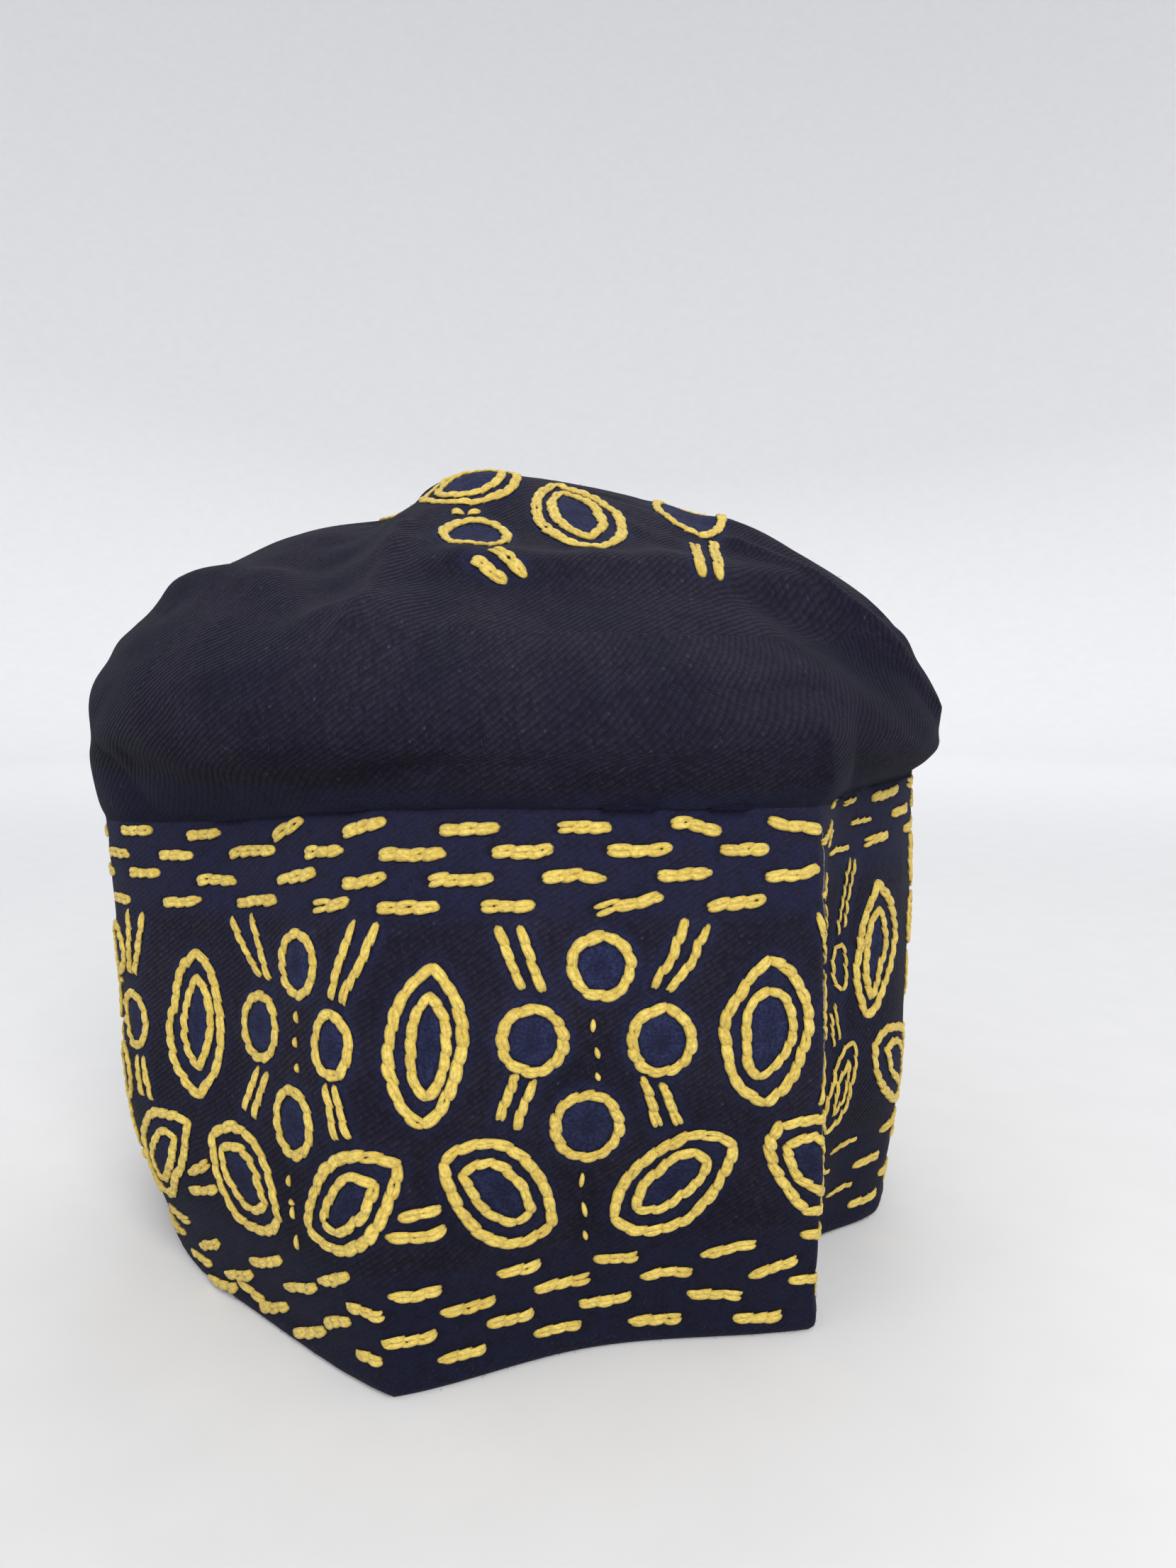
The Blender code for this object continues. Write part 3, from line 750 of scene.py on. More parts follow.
BIG_LEAVES = (
    # upper tip, left side down, lower tip, right side up
    (
        ((1, 78), ((-3, 75.2), (-5.5, 71), (-7.2, 66), (-8.6, 60.5), (-7.4, 54), (-4, 49)),
         (0.8, 46.2), ((4, 49.8), (6.7, 54), (7.9, 60), (7.2, 66), (5.8, 71), (3.6, 75.5))),
        ((0.7, 72.6), ((-2, 69), (-3.8, 64.5), (-4.1, 60), (-2.8, 55.5)),
         (0.8, 51.9), ((3, 55.5), (4.6, 60), (4.8, 64), (3.4, 69))),
    ),
    (
        ((2.3, 78.5), ((-0.6, 76.5), (-3.2, 74), (-5.6, 69.5), (-6.9, 64), (-7, 58.5), (-4.2, 52)),
         (-1.2, 49), ((1.2, 50.3), (4.5, 54.5), (7, 60.5), (8.1, 65.5), (7.3, 70.5), (5.2, 75.2))),
        ((1.7, 73.8), ((-1.2, 70.5), (-2.6, 66), (-3, 61), (-2.2, 56.5)),
         (-0.5, 54), ((2, 56), (4.4, 60.8), (5.1, 66), (3.8, 70.8))),
    ),
    (
        ((2.8, 78.5), ((-1.3, 75.8), (-4.8, 71.8), (-7, 66), (-6.8, 59), (-4.3, 52.8)),
         (1.2, 48), ((6, 52.8), (9.6, 58.5), (11.2, 64), (9.8, 70), (5.8, 76.3))),
        ((1.9, 72.9), ((-1.6, 70.4), (-3.2, 66), (-3.4, 61.2), (-2, 55.8)),
         (0, 54.2), ((3.6, 56), (6.4, 60.4), (7, 65), (4.6, 70.8))),
    ),
    (
        ((3.8, 77.5), ((1.6, 75), (-0.6, 69.5), (-1.9, 63.5), (-2.7, 57.5), (-2.8, 51.5)),
         (-1.2, 46.8), ((2.2, 47.8), (6.4, 51.6), (10.8, 57), (13, 62), (12.8, 66.5), (9, 73))),
        ((5.2, 71.4), ((2.6, 68.8), (1.0, 64.2), (0, 59.2), (-0.2, 54.8)),
         (0.6, 51.4), ((3, 52.8), (5.6, 56.4), (8.2, 61.6), (8.2, 66.8))),
    ),
)
SLANTED_LEAVES = (
    # name, then for each version: tip, one side, other tip, other side
    ("left leaf",
     ((3.6, 41), ((7, 43), (11.5, 44.1), (16, 43), (19.5, 41), (22, 37.5), (23.4, 33)),
      (24.1, 27.5), ((20, 23.7), (15, 22.5), (11, 22.9), (7.5, 24.7), (5.2, 28.5), (3.7, 34.5))),
     ((1, 43.6), ((4, 46), (8.5, 46.8), (12.5, 46.2), (16.2, 43), (19, 38.8), (20.7, 34)),
      (21.2, 27), ((17, 25), (13.5, 24.6), (9.5, 26), (6, 29), (3.2, 33.5), (1.5, 38.8))),
     ((-0.6, 41.4), ((4, 43.4), (9.5, 43.6), (14.5, 42.2), (18.5, 38.8), (21, 34), (22.3, 29)),
      (22.6, 24.5), ((18, 22), (13, 22.2), (8.4, 23.9), (3.2, 27.8), (0, 32.2), (-1.5, 36.6)))),
    ("left leaf heart",
     ((6.6, 38.8), ((10, 40.3), (13.5, 40), (16.5, 38.2), (18.6, 35)),
      (20.3, 30), ((17.8, 27.6), (15, 26.6), (12, 27.5), (9, 30.5), (7, 34.2))),
     ((4.2, 41.2), ((7.5, 42.9), (11, 42.5), (14, 40), (16.3, 36.2)),
      (17.4, 30.5), ((15.2, 29), (12, 29.4), (8.8, 31.8), (6.2, 35))),
     ((3.2, 38.8), ((7, 39.8), (11, 38.9), (15, 36), (17.8, 32)),
      (19, 27.8), ((15.6, 26.6), (12, 27.2), (8.6, 29.2), (5.1, 33)))),
    ("right leaf",
     ((53.7, 43.9), ((50, 45.6), (45.5, 46.2), (41.5, 45), (37.5, 42.5), (34.5, 38.5), (32.5, 34)),
      (31, 28.8), ((35.5, 25.9), (40.5, 26), (45, 28.2), (48.5, 31.2), (51, 35.5))),
     ((54.7, 41.4), ((51.5, 44.2), (46.7, 45.2), (42, 43.7), (38, 41), (34, 37), (31.4, 32.5)),
      (30.6, 27.2), ((34.5, 23.6), (39.5, 23.5), (45, 25.2), (48.7, 28.6), (52, 33.8))),
     ((55.9, 41.6), ((52, 42.6), (47.5, 42.2), (43, 41), (39, 38.3), (36, 34), (34.2, 29)),
      (34.4, 22.8), ((38, 19.8), (43, 20.2), (49, 26.3), (53.4, 32.6))),
     ((52.3, 43.3), ((50.3, 43.9), (47.6, 43.1), (44.4, 40.6), (41.2, 36.2), (39.2, 32), (38.2, 28.4)),
      (38.6, 24.8), ((42.7, 25.4), (46.4, 28.2), (49.2, 32.4), (51.6, 38)))),
    ("right leaf heart",
     ((49.2, 40.6), ((46, 42.3), (42.5, 41.7), (39.5, 39), (37, 35)),
      (35.4, 30.9), ((39, 29.3), (42, 30.5), (45, 32.7), (47.6, 36.2))),
     ((49.7, 38.7), ((46.5, 41.3), (42, 40.3), (38.5, 37), (35.6, 33)),
      (34.6, 28.7), ((38.5, 27.8), (42, 29), (46, 32), (48.6, 35.6))),
     ((51.4, 37.4), ((48, 38.4), (44.4, 37), (41, 33.4), (39, 29)),
      (39, 25.4), ((42, 24.4), (45.6, 26.6), (49.4, 31.8))),
     ((49, 40.2), ((46.6, 39.4), (44.2, 36.6), (42.4, 33)),
      (41.2, 28.4), ((44.4, 29.6), (47.2, 33), (48.8, 36.8)))),
)
SHORT_DASHES = (
    # start, end and bow, two in each version
    (((2.5, 33.7), (-3.2, 30.7), 0), ((3.5, 28.6), (-4.5, 26), 0.3)),
    (((0.9, 34.6), (-5.2, 34.4), 0), ((1.5, 30.9), (-7.2, 30.7), 0.8)),
    (),
    (((2.5, 33.7), (-3.2, 30.7), 0), ((3.5, 28.6), (-4.5, 26), 0.3)),
    (),
)
RUNNING_STITCHES = (
    # x, upper height and lower height, in each version
    ((30.8, 67.8, 66.2), (30.6, 63.2, 61.8), (31, 58.6, 57.4), (27.8, 37.8, 36), (27.7, 33.3, 32.7),
     (28, 32, 29.8), (28, 26.4, 23.7)),
    ((28.7, 67.4, 65.6), (29.1, 62.2, 60.4), (29.1, 57.4, 56.2), (26.2, 37.2, 34.6), (26.1, 31.2, 28.4),
     (26.2, 25.4, 23.6)),
)
# Which version each repeat round the cap takes
LEAF_VERSIONS = (0, 1, 2, 3, 0, 1, 2, 0, 1, 0)
GROUP_VERSIONS = (0, 1, 2, 4, 1, 0, 1, 0, 1, 3)
# For motifs charted in fewer versions, by how many there are, the one that each group version takes
PLAIN_VERSIONS = {2: (0, 1, 1, 0, 0), 3: (0, 1, 1, 0, 2), 4: (0, 1, 3, 2, 0)}
# The repeats seen best are sewn just as charted, the others vary by this much
EXACT_REPEATS, SEWING_JITTER = 2, 0.35
# A dash's ends are drawn in from the charted ones, and it bows a little
DASH_START, DASH_END, DASH_BOW = 0.8, 0.9, 0.25
WALL_YARN_SEEDS = {
    "upper_dash_stitches": 11, "lower_dash_stitches": 12, "ring_stitches": 13,
    "leaf_stitches": 14, "slanted_leaf_stitches": 15, "stroke_stitches": 16,
}

# Widths of the chains of links and the distance between links, in millimetres
RING_YARN = (2.1, 2.75)
LEAF_YARN = (2.25, 3.1)
HEART_YARN = (1.95, 2.85)
STROKE_YARN = (1.85, 2.7)
# The navy filling inside a ring: how far it runs out past the yarn, in millimetres, and its strength
RING_FILL, LEAF_FILL, HEART_FILL = (2.8, 1.0), (2.6, 0.4), (1.4, 1.0)
STROKE_FILL, STROKE_FILL_REACH = 0.5, 3.2
# In the fold beside the right corner the yarn is drawn in: places, and its width there
DRAWN_IN_PLACES, DRAWN_IN_WIDTHS = (129, 134, 150, 168, 173), (1.0, 0.7, 0.52, 0.52, 1.0)


def panel_lift(x, y):
    """How much higher a stitch sits at x, in millimetres."""
    x = np.mod(x, AROUND)
    inside = smooth_step((x - LIFT_FROM) / (LIFT_FULL - LIFT_FROM))
    inside = inside * smooth_step((LIFT_END - x) / (LIFT_END - LIFT_BACK))
    return PANEL_LIFT * inside * np.clip(y / LIFT_FULL_HEIGHT, 0, 1)


class Sewing:
    """Lays chains of links on one piece of flat cloth and marks them in its pattern."""

    def __init__(self, pattern, lift=None):
        self.pattern = pattern
        self.lift = lift

    def lifted(self, nodes):
        nodes = np.array(nodes, float)
        if self.lift:
            nodes[:, 1] += self.lift(nodes[:, 0], nodes[:, 1])
        return nodes

    def lay(self, yarn, nodes, width, closed=False):
        """A chain through nodes, narrower where the wall's fold draws it in."""
        nodes = self.lifted(nodes)
        if self.pattern.closed:
            place = np.mod(np.mean(nodes[:, 0]), AROUND)
            width = width * np.interp(place, DRAWN_IN_PLACES, DRAWN_IN_WIDTHS)
        yarn.chain(nodes, width, closed)
        ends = np.roll(nodes, -1, axis=0) if closed else nodes[1:]
        for a, b in zip(nodes, ends):
            self.pattern.add_strand(a, b)
        return nodes

    def row(self, yarn, nodes, width, fill=0.0):
        """An open chain, with navy stitching beside it where fill is given."""
        nodes = self.lay(yarn, nodes, width)
        if fill:
            outline = [nodes[0], nodes[-1], nodes[-1] + 0.2, nodes[0] + 0.2]
            self.pattern.add_fill(outline, STROKE_FILL_REACH, fill)

    def ring(self, yarn, nodes, width, soft, fill):
        """A closed chain, with navy filling inside it that fades out over soft millimetres."""
        self.pattern.add_fill(self.lay(yarn, nodes, width, closed=True), soft, fill)


def all_dashes(row, rng):
    """A row's dashes right round the cap: the charted ones, and even ones in the gaps between them."""
    height, charted = row
    found = list(charted)
    beyond = (charted[0][0] + AROUND, charted[0][1] + AROUND)
    for this, after in zip(charted, (*charted[1:], beyond)):
        middle, next_middle = (this[0] + this[1]) / 2, (after[0] + after[1]) / 2
        steps = int(round((next_middle - middle) / DASH_PITCH))
        for k in range(1, steps):
            at = middle + (next_middle - middle) * k / steps + rng.normal(0, 0.5)
            half = DASH_LENGTH * rng.normal(1, 0.09) / 2
            tilt = rng.normal(0, 0.3)
            level = height + rng.normal(0, 0.3)
            found.append((at - half, at + half, level - tilt, level + tilt))
    return found


def stitch_wall():
    """The wall's yarn, piece by piece, and what it does to the cloth."""
    pattern = Pattern((0, 0), (AROUND, BAND_TOP), closed=True)
    sewing = Sewing(pattern, panel_lift)
    parts = {name: Yarn(seed) for name, seed in WALL_YARN_SEEDS.items()}
    rng = np.random.default_rng(5)
    # The upper dashes are sewn one way round the cap, the lower ones the other way
    for name, rows, turned in (
        ("upper_dash_stitches", UPPER_DASHES, 1),
        ("lower_dash_stitches", LOWER_DASHES, -1),
    ):
        for row in rows:
            for start, end, low, high in all_dashes(row, rng):
                if low + panel_lift(start, low) > TOP_STITCH_HEIGHT:
                    continue
                ends = [(start + DASH_START, low), (end - DASH_END, high)][::turned]
                nodes = stroke_nodes(*ends, rng.normal(0, DASH_BOW), DASH_LINK)
                sewing.row(parts[name], nodes, DASH_WIDTH)

    for repeat in range(REPEATS):
        at = np.array([repeat * REPEAT_MM, 0])
        leaf, group = LEAF_VERSIONS[repeat], GROUP_VERSIONS[repeat]
        jitter = 0 if repeat < EXACT_REPEATS else SEWING_JITTER

        def moved(points):
            return [np.array(point) + at + rng.normal(0, jitter, 2) for point in points]

        for _, *versions in RINGS:
            x, height, across, tall = versions[group]
            nodes = ring_nodes(moved([(x, height)])[0], across, tall, *RING_YARN)
            sewing.ring(parts["ring_stitches"], nodes, RING_YARN[0], *RING_FILL)
        for _, *versions in STROKES:
            start, end, bow = versions[group]
            nodes = stroke_nodes(*moved([start, end]), bow, STROKE_YARN[1])
            sewing.row(parts["stroke_stitches"], nodes, STROKE_YARN[0], STROKE_FILL)
        outlines = [(shape, "leaf_stitches") for shape in BIG_LEAVES[leaf]]
        for _, *versions in SLANTED_LEAVES:
            outlines.append((versions[PLAIN_VERSIONS[len(versions)][group]], "slanted_leaf_stitches"))
        for k, ((tip, side, other, other_side), name) in enumerate(outlines):
            (width, spacing), fill = (HEART_YARN, HEART_FILL) if k % 2 else (LEAF_YARN, LEAF_FILL)
            corners = moved([tip, other])
            nodes = leaf_nodes(corners[0], moved(side), corners[1], moved(other_side), width, spacing)
            sewing.ring(parts[name], nodes, width, *fill)
        for start, end, bow in SHORT_DASHES[group]:
            nodes = stroke_nodes(*moved([start, end]), bow, DASH_LINK)
            sewing.row(parts["lower_dash_stitches"], nodes, DASH_WIDTH)
        for x, high, low in RUNNING_STITCHES[PLAIN_VERSIONS[2][group]]:
            parts["stroke_stitches"].stitch(*sewing.lifted(moved([(x, low), (x, high)])))
    return parts, pattern


# The medallion, in millimetres seen from above, before the cap's shift. What isn't seen of it is
# taken as the same motifs turned half round.
TOP_RINGS = (
    # name, middle, across, tall, width, distance between links, fill
    ("double ring", (-12.8, -12.8), 23.4, 23.4, 2.3, 2.9, 0.5),
    ("double ring heart", (-12.8, -12.8), 16.5, 16.5, 2.2, 2.8, 1.0),
    ("small ring", (-9.2, -39.6), 15.2, 17.4, 2.2, 2.8, 1.0),
    ("outer ring", (37, -11.5), 17, 32, 2.2, 2.9, 1.0),
)
TOP_LEAVES = (
    # name, tip, one side, other tip, other side, width, distance between links, fill
    ("top leaf", (6, -9), ((1.8, -19), (2.4, -31), (8.5, -41)), (17, -46),
     ((22, -37.5), (21.3, -25), (14.5, -14.5)), 2.5, 3.1, 0.5),
    ("top leaf heart", (7.4, -14.6), ((5.2, -22), (6.2, -31), (10.6, -37)), (15, -39.5),
     ((18.1, -33.5), (17, -24.5), (12.6, -17.5)), 2.4, 2.9, 1.0),
)
TOP_STROKES = (
    # name, start and end
    ("lower left, outer", (-8.4, -55.0), (-2.8, -58.8)),
    ("lower left, inner", (-4.9, -51.3), (0.8, -57.4)),
    ("lower right, inner", (36.4, -32.6), (36.0, -50.3)),
    ("lower right, outer", (40.9, -27.5), (39.8, -48.0)),
    ("left fleck", (-15.2, -28.6), (-13.8, -28.6)),
    ("right fleck", (-11.6, -28.3), (-10.2, -28.3)),
)
TOP_STROKE_WIDTH = 2.5
TOP_FILL_REACH = 3.0
TOP_REACH = 76
FAR_HALF_SHIFT = (5, 9)


def stitch_top():
    """The medallion's yarn and what it does to the cloth."""
    pattern = Pattern((-TOP_REACH, -TOP_REACH), (TOP_REACH, TOP_REACH), closed=False)
    sewing = Sewing(pattern)
    yarn = Yarn(17)
    for turned, shift in ((1, (0, 0)), (-1, FAR_HALF_SHIFT)):
        for motifs, nodes_of in ((TOP_RINGS, ring_nodes), (TOP_LEAVES, leaf_nodes)):
            for _, *shape, width, spacing, fill in motifs:
                nodes = nodes_of(*shape, width, spacing)
                sewing.ring(yarn, turned * nodes + shift, width, TOP_FILL_REACH, fill)
        for _, start, end in TOP_STROKES:
            nodes = stroke_nodes(start, end, 0, STROKE_YARN[1])
            sewing.row(yarn, turned * nodes + shift, TOP_STROKE_WIDTH, STROKE_FILL)
    return yarn, pattern


YARN_DIMPLE, DIMPLE_WIDTH = 0.3, 1.3
FILL_PUFF = 0.35


def relief(pattern, x, y):
    """How far the stitching lifts or pulls in the cloth, in metres."""
    near_yarn = np.exp(-((pattern.at(x, y, "gap") / DIMPLE_WIDTH) ** 2))
    return MM * (FILL_PUFF * pattern.at(x, y, "fill") - YARN_DIMPLE * near_yarn)


# The hem's folded edge stands out a little, with an uneven roll
HEM_ROLL, HEM_ROLL_HEIGHT, HEM_ROLL_WIDTH = 0.45 * MM, 2.6, 1.9
# Waves and relief fade out towards the hem and the wall's top, in millimetres
HEM_FADE, TOP_FADE = 6, 4


def wall_cloth(pattern):
    """The side wall's fine surface over millimetres round the cap and up."""
    x, y = np.meshgrid(
        np.arange(int(AROUND / MAP_STEP)) * MAP_STEP, np.linspace(0, BAND_TOP, int(BAND_TOP / MAP_STEP) + 1)
    )
    place = x / REPEAT_MM
    plain = Cloth(wall(place, y * MM), AROUND, (0, BAND_TOP))
    fade = smooth_step(y / HEM_FADE) * smooth_step((BAND_TOP - y) / TOP_FADE)
    lift = (relief(pattern, x, y) + ripple(place, y, *WALL_RIPPLES)) * fade
    roll = np.exp(-(((y - HEM_ROLL_HEIGHT) / HEM_ROLL_WIDTH) ** 2))
    lift += (HEM_ROLL + ripple(place * 3, y, *HEM_RIPPLES)) * roll
    points = plain.points + plain.normals * lift[..., None] + MIDDLE_SHIFT
    return Cloth(points, AROUND, (0, BAND_TOP))


CROWN_MAP_COLUMNS, CROWN_MAP_ROWS = 900, 400
# A row's length as the twill's scale takes it, and across the top seen from above, in millimetres
CROWN_ROW_MM, ROW_REACH = 9.5, 20
RIM_FADE, PEAK_FADE, STITCH_FADE = 0.5, 1.5, 0.5
SEAM_DEPTH, FRONT_SEAM_DEPTH = 0.6 * MM, 0.06 * MM
SEAM_WIDTH_ROWS = 0.2
SEAM_PUCKERS, PUCKER_DRIFT = 90, 7.0


def crown_cloth(pattern):
    """The crown's fine surface over repeats round the cap and rows up from the rim."""
    place, row = np.meshgrid(round_cap(CROWN_MAP_COLUMNS), np.linspace(RIM_ROW, 0, CROWN_MAP_ROWS))
    points = crown(place, row)
    plain = Cloth(points, REPEATS, (RIM_ROW, 0)).with_peak()
    fade = smooth_step((RIM_ROW - row) / RIM_FADE) * smooth_step(row / PEAK_FADE)
    lift = ripple(place, row * ROW_REACH, *CROWN_RIPPLES) * fade
    stitched = smooth_step((SEAM_ROW - row) / STITCH_FADE)
    lift += relief(pattern, points[..., 0] / MM, points[..., 1] / MM) * stitched
    pucker = np.sin(place * SEAM_PUCKERS * 2 * math.pi / REPEATS)
    pucker = 1 + 0.5 * pucker * np.sin(place * PUCKER_DRIFT)
    # The seam is drawn in at the sides and the back, and nearly smooth in front
    front = smooth_step(-2 * np.sin(np.radians(START_BEARING + BEARING_PER_REPEAT * place)) - 0.3)
    depth = SEAM_DEPTH + (FRONT_SEAM_DEPTH - SEAM_DEPTH) * front
    lift -= depth * pucker * np.exp(-(((row - SEAM_ROW) / SEAM_WIDTH_ROWS) ** 2))
    points = points + plain.normals * lift[..., None] + MIDDLE_SHIFT
    return Cloth(points, REPEATS, (RIM_ROW, 0)).with_peak()


FINDING_ROUNDS, NEAREST_ROW = 8, 0.02


def top_finder(cloth):
    """Returns place_on(x, y) for the crown: the surface above flat positions in millimetres."""

    def place_on(x, y):
        x = x * MM + MIDDLE_SHIFT[0]
        y = y * MM + MIDDLE_SHIFT[1]
        bearing, reach = np.arctan2(y, x), np.hypot(x, y)
        place = (np.degrees(bearing) - START_BEARING) / BEARING_PER_REPEAT
        row = reach / (ROW_REACH * MM)
        for _ in range(FINDING_ROUNDS):
            found_x, found_y, _ = np.moveaxis(cloth.at(place, row)[0], -1, 0)
            turn = np.mod(bearing - np.arctan2(found_y, found_x) + math.pi, 2 * math.pi) - math.pi
            place = place + np.degrees(turn) / BEARING_PER_REPEAT
            row = row + (reach - np.hypot(found_x, found_y)) / (ROW_REACH * MM)
            row = np.clip(row, NEAREST_ROW, RIM_ROW)
        return cloth.at(place, row)

    return place_on


def wall_object(name, points, flat_x, flat_y, values, material):
    """A closed cloth wall: a grid of points closed both ways, with its cloth coordinates."""
    rows, columns = points.shape[:2]
    quads, i, j = grid_quads(rows, columns, closed_rows=True)
    after, beside = (i + 1) % rows, (j + 1) % columns
    # The closing column runs on past the last one
    past = np.where(beside < j, AROUND, 0)
    u = [flat_x[i, j], flat_x[i, beside] + past, flat_x[after, beside] + past, flat_x[after, j]]
    v = [flat_y[i, j], flat_y[i, beside], flat_y[after, beside], flat_y[after, j]]
    uv = np.stack([np.stack(u, axis=-1), np.stack(v, axis=-1)], axis=-1).reshape(-1, 2)
    return mesh_object(name, points.reshape(-1, 3), [quads], material, uv, values)


# The wall's inner face lies this far past its top on the flat cloth, and has no height for the stitching
TOP_TURN, INNER_HEIGHT = 8, -1
INNER_ROUNDING = 0.9


def make_band(cloth, pattern, material):
    """The side wall as a closed cloth wall with a rounded hem."""
    columns = round_cap(BAND_COLUMNS) * REPEAT_MM
    x, y = np.meshgrid(columns, np.append(np.linspace(0, BAND_TOP - EDGE_STEP, BAND_ROWS), BAND_TOP))
    outer, normals = cloth.at(x, y)
    # Both faces round off towards each other at the hem's fold
    radius = BAND_WALL / 2
    edge = np.minimum(outer[..., 2] - outer[:1, :, 2], radius)
    inset = radius - np.sqrt(np.maximum(radius**2 - (radius - edge) ** 2, 0))
    outer = outer - unit(normals * (1, 1, 0)) * inset[..., None]
    xi, yi = np.meshgrid(columns, np.linspace(BAND_TOP, 0, BAND_INNER_ROWS + 1))
    inner, normals = cloth.at(xi, yi)
    outward = unit(normals * (1, 1, 0))
    inner = inner - BAND_WALL * outward
    edge = np.minimum(inner[..., 2] - inner[-1:, :, 2], radius)
    inner = inner + outward * (radius * (1 - smooth_step(edge / radius)))[..., None] * INNER_ROUNDING
    points = np.concatenate([outer, inner])
    points[..., 2] = np.maximum(points[..., 2], 0)
    values = {name: np.concatenate([grid, np.full_like(xi, PLAIN_CLOTH[name])])
              for name, grid in pattern.values(x, y).items()}
    values["height"] = np.concatenate([y, np.full_like(yi, INNER_HEIGHT)])
    flat_x, flat_y = np.concatenate([x, xi]), np.concatenate([y, 2 * BAND_TOP + TOP_TURN - yi])
    return wall_object("band_twill", points, flat_x, flat_y, values, material)


def make_crown_side(cloth, material):
    """The plain side of the crown, from the rim to the seam and back inside."""
    columns = round_cap(SIDE_COLUMNS)
    rows_out = np.linspace(RIM_ROW - 2 * EDGE_ROW, SEAM_ROW + EDGE_ROW, SIDE_ROWS - 1)
    place, row = np.meshgrid(columns, [RIM_ROW, *rows_out, SEAM_ROW])
    outer, _ = cloth.at(place, row)
    # Inside, the side laps under the top a little
    rows_in = np.linspace(SEAM_ROW - SEAM_LAP, RIM_ROW, SIDE_INNER_ROWS + 1)
    place_in, row_in = np.meshgrid(columns, rows_in)
    inner, normals = cloth.at(place_in, row_in)
    normals[-1, :, 2] = 0
    points = np.concatenate([outer, inner - CROWN_WALL * unit(normals)])
    flat_x = np.concatenate([place, place_in]) * REPEAT_MM
    flat_y = (RIM_ROW - np.concatenate([row, 2 * SEAM_ROW - row_in])) * CROWN_ROW_MM
    values = {name: np.full(points.shape[:2], value) for name, value in PLAIN_CLOTH.items()}
    values["height"] = points[..., 2] / MM
    return wall_object("crown_side_twill", points, flat_x, flat_y, values, material)


def make_crown_top(cloth, pattern, material):
    """The round top, closed to a point on both its faces."""
    columns = round_cap(TOP_COLUMNS)
    last = 1 / TOP_ROWS
    rows_out = np.linspace(SEAM_ROW - EDGE_ROW, last * 0.6, TOP_ROWS)
    outer, _ = cloth.at(*np.meshgrid(columns, [SEAM_ROW, *rows_out]))
    inner, normals = cloth.at(*np.meshgrid(columns, np.linspace(last, SEAM_ROW, TOP_INNER_ROWS + 1)))
    inner = inner - CROWN_WALL * normals
    grid = np.concatenate([outer, inner])
    # The grid is open between its two faces at the peak, where a fan closes each of them
    quads, i, _ = grid_quads(len(grid), TOP_COLUMNS, closed_rows=True)
    quads = quads[(i != len(outer) - 1).ravel()]
    peaks = [outer[-1].mean(axis=0), inner[0].mean(axis=0)]
    points = np.concatenate([grid.reshape(-1, 3), peaks])
    outer_ring, peak = (len(outer) - 1) * TOP_COLUMNS, len(points) - 2
    fans = np.concatenate([
        fan(peak, outer_ring, TOP_COLUMNS),
        fan(peak + 1, outer_ring + TOP_COLUMNS, TOP_COLUMNS, turned=True),
    ])
    flat = (points - MIDDLE_SHIFT) / MM
    uv = np.concatenate([flat[quads.ravel(), :2], flat[fans.ravel(), :2]])
    values = {**pattern.values(flat[:, 0], flat[:, 1]), "height": flat[:, 2]}
    return mesh_object("crown_top_twill", points, [quads, fans], material, uv, values)


